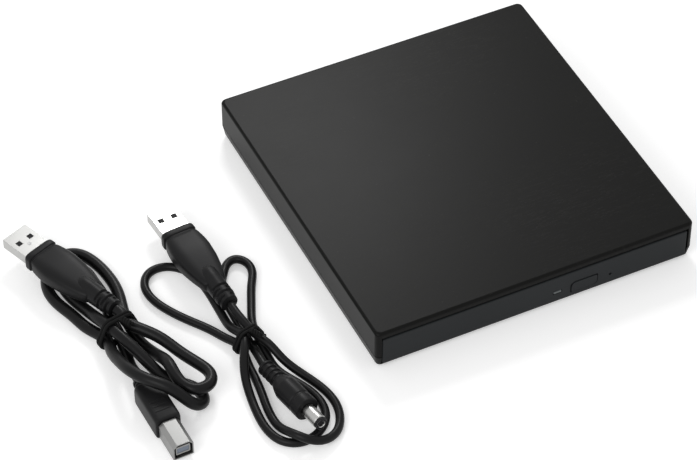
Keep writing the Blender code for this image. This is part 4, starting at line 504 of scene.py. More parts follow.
def rounded_profile(profile: list[tuple[float, float]], size: float, steps: int = 3) -> list[tuple[float, float]]:
    """A profile whose inner corners are cut back by size and rounded with a quadratic curve."""
    points = np.array(profile, dtype=float)
    result = [tuple(points[0])]
    for before, corner, after in zip(points, points[1:], points[2:]):
        reach = min(size, 0.45 * np.linalg.norm(corner - before), 0.45 * np.linalg.norm(after - corner))
        if reach < 1e-7:
            result.append(tuple(corner))
            continue
        start = corner + (before - corner) * reach / np.linalg.norm(corner - before)
        end = corner + (after - corner) * reach / np.linalg.norm(after - corner)
        for share in np.linspace(0.0, 1.0, steps + 1):
            result.append(tuple((1 - share) ** 2 * start + 2 * share * (1 - share) * corner + share ** 2 * end))
    return result + [tuple(points[-1])]


def turn_z(points: np.ndarray, angle: float) -> np.ndarray:
    """Points turned about +Z."""
    cos, sin = math.cos(angle), math.sin(angle)
    return points @ np.array([[cos, sin, 0.0], [-sin, cos, 0.0], [0.0, 0.0, 1.0]])


def lay_along(points: np.ndarray, place: tuple[float, float, float], heading: float,
              pitch: float = 0.0) -> np.ndarray:
    """Points made along +X, pitched up, turned to a heading and moved to a place."""
    cos, sin = math.cos(pitch), math.sin(pitch)
    pitched = points @ np.array([[cos, 0.0, sin], [0.0, 1.0, 0.0], [-sin, 0.0, cos]])
    return turn_z(pitched, heading) + np.array(place)


def upright_to_x(points: np.ndarray) -> np.ndarray:
    """Points made along +Z, laid along +X."""
    return points[..., [2, 0, 1]]


def smooth_route(route: np.ndarray, step: float) -> np.ndarray:
    """Even points on the natural cubic spline through a route, at most step apart."""
    spans = np.linalg.norm(np.diff(route, axis=0), axis=1)
    places = np.concatenate(([0.0], np.cumsum(spans)))
    count = len(route)
    before, after = spans[:-1], spans[1:]
    system = np.eye(count)
    inner = np.arange(1, count - 1)
    system[inner, inner - 1], system[inner, inner], system[inner, inner + 1] = before, 2 * (before + after), after
    slope = np.diff(route, axis=0) / spans[:, None]
    right = np.zeros_like(route)
    right[1:-1] = 6 * np.diff(slope, axis=0)
    bend = np.linalg.solve(system, right)
    fine = np.linspace(0.0, places[-1], 40 * count)
    cell = np.clip(np.searchsorted(places, fine, side="right") - 1, 0, count - 2)
    width, ahead = spans[cell][:, None], (places[cell + 1] - fine)[:, None]
    behind = (fine - places[cell])[:, None]
    curve = (bend[cell] * ahead ** 3 + bend[cell + 1] * behind ** 3) / (6 * width)
    curve += (route[cell] / width - bend[cell] * width / 6) * ahead
    curve += (route[cell + 1] / width - bend[cell + 1] * width / 6) * behind
    run = np.concatenate(([0.0], np.cumsum(np.linalg.norm(np.diff(curve, axis=0), axis=1))))
    even = np.linspace(0.0, run[-1], int(run[-1] / step) + 2)
    return np.stack([np.interp(even, run, curve[:, axis]) for axis in range(3)], axis=1)


def tube(path: np.ndarray, radius: float, count: int = 20) -> np.ndarray:
    """A round tube about a path; each ring's sides are up x tangent, and tangent x that."""
    tangent = np.gradient(path, axis=0)
    tangent /= np.linalg.norm(tangent, axis=1)[:, None]
    side = np.cross(np.array([0.0, 0.0, 1.0]), tangent)
    side /= np.linalg.norm(side, axis=1)[:, None]
    top = np.cross(tangent, side)
    angle = ring_angles(count)
    return (path[:, None, :] + radius * (np.cos(angle)[None, :, None] * side[:, None, :]
                                         + np.sin(angle)[None, :, None] * top[:, None, :]))


def box_points(low: tuple[float, float, float], high: tuple[float, float, float],
               corner: float = 0.0) -> np.ndarray:
    """A block with rounded upright edges and eased rims, as rows from its base to its top."""
    low_end, high_end = np.array(low), np.array(high)
    half = (high_end - low_end)[:2] / 2
    ease = min(corner, (high_end[2] - low_end[2]) / 4)
    rows = [(-ease, low_end[2]), (0.0, low_end[2] + ease), (0.0, high_end[2] - ease), (-ease, high_end[2])]
    angle = np.linspace(0.0, math.pi / 2, 5)
    result = []
    for inset, height in rows:
        ring = []
        for quarter, (sx, sy) in enumerate(((1, 1), (-1, 1), (-1, -1), (1, -1))):
            turned = angle + quarter * math.pi / 2
            ring.append(np.stack([sx * (half[0] - corner) + (corner + inset) * np.cos(turned),
                                  sy * (half[1] - corner) + (corner + inset) * np.sin(turned),
                                  np.full(5, height)], axis=1))
        result.append(np.concatenate(ring))
    middle = np.array([*(low_end + high_end)[:2] / 2, 0.0])
    return np.array(result) + middle


@dataclass
class Maker:
    """Dresses pieces: gives each its material and body, and hides the nodes that it stands for."""

    body: Body

    def dress(self, piece: bpy.types.Object, surface: Surface, *nodes: str, smooth: float = 38.0
              ) -> bpy.types.Object:
        """Finish a new piece and make it ride.

        Args:
            piece: the new object, in place.
            surface: its finish.
            nodes: CAD nodes that it stands for.
            smooth: edges sharper than this angle, in degrees, stay sharp.

        Returns:
            The same piece.
        """
        piece.data.materials.clear()
        piece.data.materials.append(PAINT(surface))
        piece.data.shade_smooth()
        piece.data.set_sharp_from_angle(angle=math.radians(smooth))
        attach(piece, self.body.value)
        if nodes:
            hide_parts(*nodes)
        LOG.info("%s rides on %s, %d faces", piece.name, self.body.value, len(piece.data.polygons))
        return piece

    def turned_on(self, node: str, surface: Surface, shares: list[tuple[float, float]],
                  rounding: float = 0.15 * MM, name: str = "", stands: bool = True) -> bpy.types.Object:
        """An upright lathe piece in a node's box.

        Args:
            node: the round CAD node whose box gives the centre, radius and height.
            surface: finish of the piece.
            shares: profile as shares of the radius and of the height, from the base up.
            rounding: how far its corners are rounded.
            name: name of the piece; the node's name with _turned if left out.
            stands: whether it replaces the node.

        Returns:
            The turned piece.
        """
        low, high = (np.array(corner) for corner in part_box(node))
        middle, radius, tall = (low + high) / 2, (high - low)[:2].max() / 2, high[2] - low[2]
        profile = [(max(wide, 0.02) * radius, low[2] + up * tall) for wide, up in shares]
        points = lathe(rounded_profile(profile, rounding)) + np.array([middle[0], middle[1], 0.0])
        return self.dress(lattice(name or f"{node}_turned", points), surface, *([node] if stands else []))

    def keep(self, node: str, surface: Surface) -> None:
        """Show a CAD node as it is, with a better material."""
        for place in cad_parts[node].material_slots:
            place.material = PAINT(surface)
        LOG.info("%s kept", node)

    def soften(self, node: str, surface: Surface, edge: Edge = Edge.MOULDED, name: str = "",
               stands: bool = True) -> bpy.types.Object:
        """A copy of a CAD node with its loose triangles merged and its edges rounded.

        Args:
            node: the CAD node to copy.
            surface: finish of the copy.
            edge: how round the edges become.
            name: name of the piece; the node's name with _soft if left out.
            stands: whether the copy replaces the node.

        Returns:
            The softened piece.
        """
        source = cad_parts[node]
        mesh = source.data.copy()
        mesh.transform(source.matrix_world)
        work = bmesh.new()
        work.from_mesh(mesh)
        bmesh.ops.remove_doubles(work, verts=work.verts, dist=2e-6)
        bmesh.ops.dissolve_limit(work, angle_limit=math.radians(1.0), verts=work.verts, edges=work.edges)
        work.to_mesh(mesh)
        work.free()
        made = bpy.data.objects.new(name or f"{node}_soft", mesh)
        bpy.context.scene.collection.objects.link(made)
        width, segments = edge.value
        rounder = made.modifiers.new("eased_edges", "BEVEL")
        rounder.width, rounder.segments = width, segments
        rounder.limit_method, rounder.angle_limit = "ANGLE", math.radians(40.0)
        rounder.use_clamp_overlap = True
        weigh = made.modifiers.new("even_shading", "WEIGHTED_NORMAL")
        weigh.keep_sharp = False
        self.dress(made, surface, *([node] if stands else []), smooth=60.0)
        return made


# Routes of the two tied cords, in millimetres, from each flat plug to the plug at its other end
DATA_ROUTE = (
    (-151.0, -8.95, 9.8), (-150.3, -11.0, 9.8), (-149.9, -15.4, 9.3), (-146.7, -21.0, 8.9),
    (-141.4, -28.0, 8.2), (-136.8, -37.5, 7.0), (-132.6, -46.8, 7.0), (-131.0, -53.6, 7.4),
    (-134.0, -58.8, 8.2), (-139.8, -59.2, 8.9), (-143.6, -53.0, 9.4), (-143.9, -43.8, 9.7),
    (-144.5, -35.5, 6.2), (-145.9, -28.0, 3.3), (-147.4, -21.5, 2.9), (-148.0, -15.2, 3.9),
    (-146.9, -5.0, 2.8), (-144.7, 6.0, 2.6), (-144.8, 16.0, 2.6), (-147.0, 25.6, 2.6),
    (-152.2, 33.0, 2.6), (-159.2, 33.6, 2.6), (-165.2, 28.6, 2.6), (-168.8, 20.5, 2.6),
    (-168.4, 11.0, 2.6), (-165.6, 2.5, 2.6), (-162.9, -6.5, 2.7), (-158.9, -16.6, 3.9),
    (-159.9, -24.5, 6.0), (-160.5, -34.5, 10.0), (-159.4, -44.0, 13.3), (-155.8, -51.6, 14.5),
    (-150.4, -57.6, 13.7), (-145.6, -61.8, 9.6), (-141.2, -63.6, 5.2), (-137.4, -61.2, 3.0),
    (-136.8, -55.6, 2.6), (-140.4, -50.2, 2.8), (-145.6, -45.2, 3.6), (-149.5, -38.0, 6.2),
    (-153.3, -27.0, 9.0), (-156.5, -16.4, 9.1), (-158.8, -7.0, 7.0), (-160.0, 2.0, 3.6),
    (-162.0, 10.0, 2.6), (-163.0, 17.0, 2.6), (-161.4, 23.6, 2.6), (-157.2, 26.0, 2.6),
    (-152.9, 23.6, 2.6), (-151.2, 16.0, 2.6), (-150.7, 5.0, 2.6), (-152.8, -5.5, 2.8),
    (-153.4, -15.9, 3.9), (-154.6, -26.0, 2.9), (-155.7, -34.0, 3.4), (-155.9, -39.0, 5.1),
    (-155.9, -42.4, 5.4),
)
POWER_ROUTE = (
    (-109.4, -24.55, 8.3), (-109.2, -29.0, 8.2), (-108.3, -35.0, 7.8), (-107.2, -40.6, 7.2),
    (-104.2, -48.5, 6.8), (-101.8, -55.5, 4.4), (-97.4, -65.0, 2.4), (-93.4, -74.5, 1.8),
    (-92.2, -83.5, 1.8), (-94.0, -91.0, 1.8), (-98.2, -96.6, 2.0), (-103.6, -99.0, 2.9),
    (-109.2, -98.6, 4.9), (-113.4, -95.2, 6.0), (-115.8, -90.0, 4.5), (-116.9, -84.0, 2.2),
    (-116.9, -76.5, 1.8), (-115.6, -67.5, 1.8), (-114.5, -58.5, 1.8), (-113.9, -50.0, 2.2),
    (-113.4, -41.9, 3.2), (-116.1, -35.0, 2.2), (-119.6, -28.0, 1.8), (-125.0, -19.9, 1.8),
    (-130.8, -10.2, 1.8), (-133.9, -1.0, 1.8), (-133.3, 6.0, 1.8), (-129.4, 10.8, 1.8),
    (-123.4, 11.6, 1.8), (-117.8, 8.4, 1.8), (-114.0, 2.5, 1.8), (-112.5, -5.0, 1.8),
    (-112.3, -14.0, 1.9), (-112.6, -24.0, 2.15), (-112.7, -33.5, 4.7), (-111.5, -41.4, 7.2),
    (-115.0, -49.5, 6.6), (-118.3, -57.5, 3.7), (-120.1, -66.5, 2.0), (-121.3, -76.0, 1.8),
    (-121.1, -85.0, 1.8), (-118.6, -91.4, 1.8), (-113.6, -95.0, 1.8), (-108.0, -95.2, 1.8),
    (-103.0, -92.9, 1.8), (-98.9, -88.6, 1.8), (-97.0, -82.0, 1.8), (-98.2, -74.0, 1.8),
    (-101.8, -66.0, 1.8), (-105.3, -57.0, 1.9), (-105.5, -48.5, 2.7), (-105.1, -40.2, 3.2),
    (-103.8, -32.5, 2.3), (-99.6, -22.0, 1.8), (-94.9, -12.0, 1.8), (-91.9, -5.6, 1.8),
    (-92.7, 0.6, 1.8), (-95.7, 3.0, 1.8), (-99.4, 1.8, 1.8), (-102.4, -1.8, 1.8), (-105.4, -6.5, 1.8),
    (-107.8, -14.0, 1.8), (-108.4, -24.0, 1.9), (-109.0, -34.0, 2.5), (-109.2, -41.0, 3.2),
    (-109.5, -49.5, 4.5), (-109.9, -57.2, 5.3),
)


@dataclass(frozen=True)
class Pose:
    """Where a plug's cord end lies, in millimetres, and where the plug points."""

    place: tuple[float, float, float]
    heading: float
    pitch: float = 0.0

    def lay(self, points: np.ndarray) -> np.ndarray:
        """Points made along +X, laid at this pose."""
        return lay_along(points, tuple(value * MM for value in self.place), math.radians(self.heading),
                         math.radians(self.pitch))


SHELL_LENGTH = 13.6 * MM
SHELL_TOP = 2.25 * MM
DATA_FLAT_POSE = Pose((-151.2, -8.5, 9.8), 111.0)
DATA_SQUARE_POSE = Pose((-155.9, -43.2, 5.4), -88.5)
POWER_FLAT_POSE = Pose((-109.4, -24.2, 8.3), 94.6)
POWER_BARREL_POSE = Pose((-109.9, -57.6, 5.3), -80.4, 3.4)


@dataclass
class Plug(Maker):
    """A plug with a moulded grip, along +X from its cord end."""

    pose: Pose = DATA_FLAT_POSE
    length: float = 0.0
    width: float = 0.0
    height: float = 0.0
    shares: tuple[tuple[float, float, float, float], ...] = ()

    def moulded(self, name: str, node: str) -> bpy.types.Object:
        """Moulded grip: superellipse sections whose sizes follow the shares along it."""
        table = np.array(self.shares)
        sections = superellipse(table[:, 1] * self.width / 2, table[:, 2] * self.height / 2, table[:, 3], 56)
        along = np.repeat(table[:, :1] * self.length, sections.shape[1], axis=1)[..., None]
        points = self.pose.lay(np.concatenate([along, sections], axis=2))
        return self.dress(lattice(name, points), Surface.GRIP, node, smooth=34.0)


@dataclass
class FlatPlug(Plug):
    """Flat data plug: ribbed relief, waisted grip with a collar, and a folded metal shell."""

    prefix: str = "data"
    pose: Pose = DATA_FLAT_POSE
    length: float = 44.5 * MM
    width: float = 16.4 * MM
    height: float = 8.6 * MM
    shell_start: float = 44.8 * MM
    # Place along the grip, half width and half height as shares, and squareness of the section
    shares: tuple[tuple[float, float, float, float], ...] = (
        (0.262, 0.10, 0.20, 2.4), (0.262, 0.38, 0.50, 2.8), (0.265, 0.46, 0.58, 3.0), (0.272, 0.53, 0.63, 3.2),
        (0.285, 0.585, 0.665, 3.4), (0.310, 0.64, 0.70, 3.5), (0.360, 0.72, 0.745, 3.6), (0.420, 0.80, 0.80, 3.7),
        (0.480, 0.87, 0.86, 3.7), (0.560, 0.945, 0.925, 3.8), (0.640, 0.975, 0.98, 3.8), (0.700, 1.00, 0.995, 3.9),
        (0.760, 0.99, 0.985, 4.1), (0.830, 0.95, 0.955, 4.3), (0.880, 0.90, 0.92, 4.6), (0.902, 0.87, 0.90, 4.8),
        (0.908, 0.83, 0.85, 5.0), (0.912, 0.81, 0.83, 5.0), (0.930, 0.81, 0.83, 5.0), (0.934, 0.86, 0.90, 5.2),
        (0.939, 0.88, 0.92, 5.4), (0.980, 0.875, 0.91, 5.4), (0.992, 0.86, 0.89, 5.4), (1.000, 0.82, 0.84, 5.4),
        (1.000, 0.60, 0.60, 4.0))
    relief_end: float = 0.50            # share of the grip where the relief's dome ends
    slots: tuple[float, ...] = (0.052, 0.094, 0.136, 0.178)
    slot_length: float = 1.1 * MM
    windows: tuple[float, float, float] = (2.2 * MM, 2.9 * MM, 5.2 * MM)   # size, side, setback
    contact_pitch: float = 2.3 * MM
    contact_half: float = 0.5 * MM
    contact_span: tuple[float, float] = (4.6 * MM, 11.6 * MM)               # from the shell's start

    def relief(self) -> bpy.types.Object:
        """Strain relief: a round tube that ends in a dome on the grip.

        Its radius is cut back in rings of slots, which lie at the sides and at top and
        bottom by turns: depth times a bump along the tube times a wave round it.
        """
        along = np.concatenate([np.linspace(0.0, 0.30, 150), np.linspace(0.31, self.relief_end, 30)])
        start = np.clip(along / 0.012, 0.0, 1.0) ** 0.5
        dome = np.sqrt(np.clip(1.0 - (np.clip(along - 0.38, 0.0, None) / (self.relief_end - 0.38)) ** 2, 0.0, 1.0))
        swell = 0.42 + 0.08 * np.clip(along / 0.10, 0.0, 1.0)
        lift = 0.445 + 0.09 * np.clip((along - 0.20) / 0.12, 0.0, 1.0)
        angle = ring_angles(64)[None, :]
        cutting = np.zeros((len(along), 64))
        for index, slot in enumerate(self.slots):
            near = np.clip(1.35 - np.abs(along - slot) * self.length / (self.slot_length / 2), 0.0, 1.0)[:, None]
            phase = angle + (math.pi / 2 if index % 2 else 0.0)
            cutting += near * np.clip((np.abs(np.cos(phase)) - 0.30) * 8.0, 0.0, 1.0)
        radius = (0.30 + 0.70 * start) * dome
        wide = (radius * swell * self.width / 2)[:, None] * (1.0 - 0.20 * cutting)
        high = (radius * (swell + lift) * self.height / 2)[:, None] * (1.0 - 0.20 * cutting)
        points = np.stack([along[:, None] * self.length + 0.0 * angle, wide * np.cos(angle), high * np.sin(angle)],
                          axis=-1)
        return self.dress(lattice(f"{self.prefix}_relief", self.pose.lay(points)), Surface.GRIP, smooth=40.0)

    def window_shade_plates(self) -> list[bpy.types.Object]:
        """Dark plates under the shell's two windows, painted shade for the hollow behind them, and the small dimple
        between them in darker steel, also painted shade.
        """
        size, side, setback = self.windows
        end = self.shell_start + SHELL_LENGTH
        made = []
        for index, across in enumerate((-side, side)):
            low = (end - setback - size + 0.06 * MM, across - size / 2 + 0.06 * MM, SHELL_TOP - 0.62 * MM)
            high = (end - setback - 0.06 * MM, across + size / 2 - 0.06 * MM, SHELL_TOP - 0.16 * MM)
            # painted shade: a thin dark plate just under each window stands for the shade in the hollow behind it
            plate = lattice(f"{self.prefix}_window_{index + 1}", self.pose.lay(box_points(low, high, 0.1 * MM)))
            made.append(self.dress(plate, Surface.BLACK_AND_SHADE))
        dimple = lathe([(0.05 * MM, -0.02 * MM), (0.75 * MM, -0.02 * MM), (0.85 * MM, 0.03 * MM),
                        (0.7 * MM, 0.05 * MM), (0.45 * MM, 0.02 * MM), (0.05 * MM, 0.02 * MM)], 32)
        dimple = dimple + np.array([end - setback - size - 1.9 * MM, 0.0, SHELL_TOP])
        # painted shade: the dimple takes the darker copy of the steel
        made.append(self.dress(lattice(f"{self.prefix}_dimple", self.pose.lay(dimple)), Surface.STEEL_PAINTED_SHADE))
        return made

    def shell(self) -> bpy.types.Object:
        """Folded metal shell with its mouth and two windows."""
        return self.soften(f"{self.prefix}_plug_shell", Surface.BRIGHT, Edge.PLUG, f"{self.prefix}_flat_shell")

    def tongue(self) -> list[bpy.types.Object]:
        """Four gilded contacts in rounded strips on the insulator inside the mouth."""
        end = self.shell_start + SHELL_LENGTH
        floor = lattice(f"{self.prefix}_tongue", self.pose.lay(box_points(
            (end - 8.0 * MM, -5.4 * MM, -0.10 * MM), (end - 0.15 * MM, 5.4 * MM, 0.04 * MM), 0.2 * MM)))
        made = [self.dress(floor, Surface.BLACK_AND_SHADE)]
        for index in range(4):
            across = (index - 1.5) * self.contact_pitch
            first, last = (self.shell_start + place for place in self.contact_span)
            low = (first, across - self.contact_half, -0.02 * MM)
            high = (last, across + self.contact_half, 0.14 * MM)
            strip = lattice(f"{self.prefix}_contact_{index + 1}", self.pose.lay(box_points(low, high, 0.2 * MM)))
            made.append(self.dress(strip, Surface.GOLD))
        return made

    def build(self) -> list[bpy.types.Object]:
        """All pieces of the plug."""
        grip = self.moulded(f"{self.prefix}_flat_grip", f"{self.prefix}_plug_grip")
        return [grip, self.relief(), self.shell(), *self.window_shade_plates(), *self.tongue()]


@dataclass
class SquarePlug(Plug):
    """Square data plug: ribbed relief, blocky grip, and a chamfered metal shell over a core."""

    pose: Pose = DATA_SQUARE_POSE
    length: float = 26.0 * MM
    width: float = 10.6 * MM
    height: float = 10.2 * MM
    core_span: tuple[float, float] = (27.2 * MM, 38.6 * MM)
    core_half: tuple[float, float] = (2.75 * MM, 1.85 * MM)
    shares: tuple[tuple[float, float, float, float], ...] = (
        (0.00, 0.44, 0.46, 2.0), (0.00, 0.56, 0.58, 2.0), (0.01, 0.60, 0.62, 2.0), (0.04, 0.63, 0.65, 2.0),
        (0.055, 0.64, 0.66, 2.0), (0.060, 0.57, 0.59, 2.0), (0.085, 0.57, 0.59, 2.0), (0.090, 0.64, 0.66, 2.0),
        (0.115, 0.65, 0.67, 2.0), (0.120, 0.58, 0.60, 2.1), (0.145, 0.58, 0.60, 2.1), (0.150, 0.66, 0.68, 2.2),
        (0.185, 0.68, 0.70, 2.4), (0.200, 0.82, 0.84, 3.4), (0.215, 0.92, 0.93, 4.6), (0.235, 0.975, 0.98, 5.6),
        (0.260, 1.00, 1.00, 6.4), (0.500, 1.00, 1.00, 6.8), (0.760, 1.00, 1.00, 7.0), (0.950, 1.00, 1.00, 7.0),
        (0.980, 0.985, 0.985, 7.0), (0.995, 0.96, 0.96, 7.0), (1.000, 0.92, 0.92, 7.0), (1.000, 0.70, 0.70, 6.0))

    def ridges(self) -> list[bpy.types.Object]:
        """Finger ridges across the grip's top: rounded bars."""
        made = []
        for index in range(3):
            start = (0.62 + 0.09 * index) * self.length
            low = (start, -self.width * 0.30, self.height * 0.49)
            high = (start + 0.8 * MM, self.width * 0.30, self.height * 0.49 + 0.28 * MM)
            bar = lattice(f"square_ridge_{index + 1}", self.pose.lay(box_points(low, high, 0.35 * MM)))
            made.append(self.dress(bar, Surface.GRIP))
        return made

    def build(self) -> list[bpy.types.Object]:
        """All pieces of the plug."""
        shell = self.soften("square_plug_shell", Surface.NICKEL, Edge.SHEET, "square_shell")
        (start, end), (wide, high) = self.core_span, self.core_half
        core = box_points((start, -wide, -high), (end, wide, high), 0.3 * MM)
        insert = self.dress(lattice("square_core_face", self.pose.lay(core)), Surface.CORE)
        return [self.moulded("square_grip", "square_plug_grip"), *self.ridges(), shell, insert]


@dataclass
class BarrelPlug(Maker):
    """Round power plug: ribbed relief, round grip, and a bored metal barrel with a dark ring."""

    pose: Pose = POWER_BARREL_POSE
    length: float = 28.5 * MM
    radius: float = 5.0 * MM
    relief: float = 9.69 * MM
    relief_radius: float = 3.3 * MM
    ribs: int = 4
    barrel_start: float = 28.8 * MM
    barrel_length: float = 9.5 * MM
    barrel_radius: float = 2.75 * MM
    bore: float = 1.25 * MM

    def turned(self, name: str, profile: list[tuple[float, float]], surface: Surface, rounding: float,
               *nodes: str) -> bpy.types.Object:
        """A lathe piece about the plug's axis; profile is (radius, place along it)."""
        points = upright_to_x(lathe(rounded_profile(profile, rounding), 48))
        return self.dress(lattice(name, self.pose.lay(points)), surface, *nodes)

    def build(self) -> list[bpy.types.Object]:
        """All pieces of the plug."""
        rib = self.relief / (2 * self.ribs)
        profile = [(1.9 * MM, 0.0)]
        for index in range(self.ribs):
            base, low = index * 2 * rib, self.relief_radius - 0.6 * MM
            profile += [(self.relief_radius, base), (self.relief_radius, base + rib), (low, base + rib),
                        (low, base + 2 * rib)]
        profile += [(self.relief_radius, self.relief), (self.radius * 0.86, self.relief + 2 * rib),
                    (self.radius, self.relief + 4 * rib), (self.radius, 0.80 * self.length),
                    (self.radius * 0.955, 0.81 * self.length), (self.radius * 0.955, 0.84 * self.length),
                    (self.radius, 0.85 * self.length), (self.radius, self.length), (self.radius * 0.4, self.length)]
        end = self.barrel_start + self.barrel_length
        barrel = [(0.2 * MM, self.barrel_start), (self.barrel_radius, self.barrel_start),
                  (self.barrel_radius, end - 1.7 * MM), (self.barrel_radius - 0.23 * MM, end - 1.6 * MM),
                  (self.barrel_radius - 0.23 * MM, end), (self.bore + 0.45 * MM, end), (self.bore, end - 0.2 * MM),
                  (self.bore, end - 8.0 * MM), (0.2 * MM, end - 8.0 * MM)]
        ring = [(self.barrel_radius - 0.3 * MM, end - 1.55 * MM), (self.barrel_radius - 0.14 * MM, end - 1.5 * MM),
                (self.barrel_radius - 0.14 * MM, end - 0.12 * MM), (self.barrel_radius - 0.4 * MM, end + 0.02 * MM),
                (self.bore + 0.3 * MM, end + 0.02 * MM), (self.bore + 0.3 * MM, end - 0.6 * MM)]
        return [self.turned("barrel_grip", profile, Surface.GRIP, 0.35 * MM, "barrel_plug_grip"),
                self.turned("barrel_tip", barrel, Surface.BRIGHT, 0.2 * MM, "barrel_plug_tip"),
                self.turned("barrel_tip_ring", ring, Surface.BLACK_AND_SHADE, 0.1 * MM)]


@dataclass
class Lead(Maker):
    """One tied lead: a free round cord between two plugs, held by a wound tie."""

    name: str = "data"
    route: tuple[tuple[float, float, float], ...] = DATA_ROUTE
    diameter: float = 4.8 * MM
    length: float = 0.459
    tie_place: tuple[float, float, float] = (-153.4, -15.9, 6.9)
    tie_heading: float = -82.0
    tie_wire: float = 1.5 * MM

    def crossings(self, path: np.ndarray) -> np.ndarray:
        """Where the cord passes the tie's plane: across and up in that plane, for each strand."""
        heading = math.radians(self.tie_heading)
        ahead = np.array([math.cos(heading), math.sin(heading), 0.0])
        aside = np.array([-math.sin(heading), math.cos(heading), 0.0])
        place = np.array(self.tie_place) * MM
        depth = (path - place) @ ahead
        cell = np.flatnonzero(depth[:-1] * depth[1:] < 0.0)
        share = (depth[cell] / (depth[cell] - depth[cell + 1]))[:, None]
        points = path[cell] * (1 - share) + path[cell + 1] * share - place
        flat = np.stack([points @ aside, points[:, 2]], axis=1)
        return flat[np.abs(flat[:, 0]) < 0.02]

    def tie(self, path: np.ndarray) -> list[bpy.types.Object]:
        """Tie: a soft wire wound twice round the strands, and its twisted tail.

        The winding follows the outline of the strands: at each angle, the strand that
        reaches furthest that way, plus its radius, in that direction.
        """
        strands = self.crossings(path)
        turns, wire = 2.0, self.tie_wire / 2
        angle = np.linspace(-0.2, turns * math.tau + 0.2, 260)
        way = np.stack([np.cos(angle), np.sin(angle)], axis=1)
        furthest = strands[(strands @ way.T).argmax(axis=0)]
        flat = furthest + way * (self.diameter / 2 + wire + 0.05 * MM)
        kernel = np.hanning(9) / np.hanning(9).sum()
        padded = np.pad(flat, ((4, 4), (0, 0)), mode="edge")
        flat = np.stack([np.convolve(padded[:, axis], kernel, mode="valid") for axis in (0, 1)], axis=1)
        along = (angle / (turns * math.tau) - 0.5) * 2.1 * self.tie_wire
        points = np.stack([along, flat[:, 0], flat[:, 1]], axis=1)
        place, heading = tuple(value * MM for value in self.tie_place), math.radians(self.tie_heading)
        band = lattice(f"{self.name}_tie_band", tube(lay_along(points, place, heading), wire, 12))
        top = flat[np.abs(angle - math.pi / 2).argmin()]
        reach = np.linspace(0.0, 1.0, 60)
        made = [self.dress(band, Surface.RUBBER, f"{self.name}_tie", smooth=60.0)]
        for index, phase in enumerate((0.0, math.pi)):
            turn = phase + reach * math.tau * 2.2
            tail = np.stack([0.0012 + reach * 5.0 * MM, top[0] + wire * np.cos(turn) + reach * 1.5 * MM,
                             top[1] + wire * 1.1 + wire * np.sin(turn) * 0.9], axis=1)
            made.append(self.dress(lattice(f"{self.name}_tie_tail_{index + 1}",
                                           tube(lay_along(tail, place, heading), wire * 0.9, 10)),
                                   Surface.RUBBER, smooth=60.0))
        return made

    def build(self, plugs: list[bpy.types.Object]) -> bpy.types.Object:
        """The cord on its route, with its tie.

        Args:
            plugs: the pieces of the plugs at its two ends; not used.

        Returns:
            The cord.
        """
        path = smooth_route(np.array(self.route) * MM, self.diameter / 6)
        cord = lattice(f"{self.name}_cord_jacket", tube(path, self.diameter / 2))
        self.dress(cord, Surface.CORD, f"{self.name}_cord", smooth=70.0)
        real = float(np.linalg.norm(np.diff(path, axis=0), axis=1).sum())
        LOG.info("%s cord is %.1f mm long", self.name, real / MM)
        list(self.tie(path))
        return cord


@dataclass
class Case(Maker):
    """The two-part case with its feet and screws."""

    body: Body = Body.CASE

    def foot(self, node: str) -> bpy.types.Object:
        """Rubber foot: a lathe profile with a rounded rim and a shallow dish below."""
        low, high = (np.array(corner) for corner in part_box(node))
        middle, radius = (low + high) / 2, (high - low)[0] / 2
        rim = [(0.3 * MM, low[2] + 0.12 * MM), (radius * 0.62, low[2] + 0.10 * MM), (radius * 0.72, low[2]),
               (radius, low[2]), (radius, high[2]), (0.3 * MM, high[2])]
        points = lathe(rounded_profile(rim, 0.25 * MM)) + np.array([middle[0], middle[1], 0.0])
        return self.dress(lattice(f"{node}_pad", points), Surface.RUBBER, node)

    def build(self) -> None:
        """All pieces of the case."""
        self.soften("top_cover", Surface.SHELL, Edge.CASE, "case_top")
        self.soften("bottom_cover", Surface.SHELL, Edge.FRONT, "case_bottom")
        for side in ("front_left", "front_right", "back_left", "back_right"):
            self.foot(f"foot_{side}")
        for side in ("left", "right"):
            self.soften(f"case_screw_{side}", Surface.BRIGHT, Edge.SHEET)


@dataclass
class Chassis(Maker):
    """The sheet metal pan and lid of the slim drive, its rails, ribbon and catch pin."""

    body: Body = Body.CASE

    def build(self) -> None:
        """All pieces of the chassis."""
        for node in ("chassis_pan", "chassis_lid"):
            self.soften(node, Surface.SHEET, Edge.SHEET)
        for side in ("left", "right"):
            self.soften(f"rail_guide_{side}", Surface.TRAY, Edge.SHEET)
        self.keep("ribbon_cable", Surface.FILM)
        self.turned_on("catch_pin", Surface.BRIGHT, [(0.0, 0.0), (1.0, 0.0), (1.0, 0.72), (0.62, 0.80),
                                                     (0.62, 0.92), (0.9, 0.96), (0.9, 1.0), (0.0, 1.0)])
        Maker(Body.RAILS).soften("slide_rail_left", Surface.SHEET, Edge.SHEET)
        Maker(Body.RAILS).soften("slide_rail_right", Surface.SHEET, Edge.SHEET)


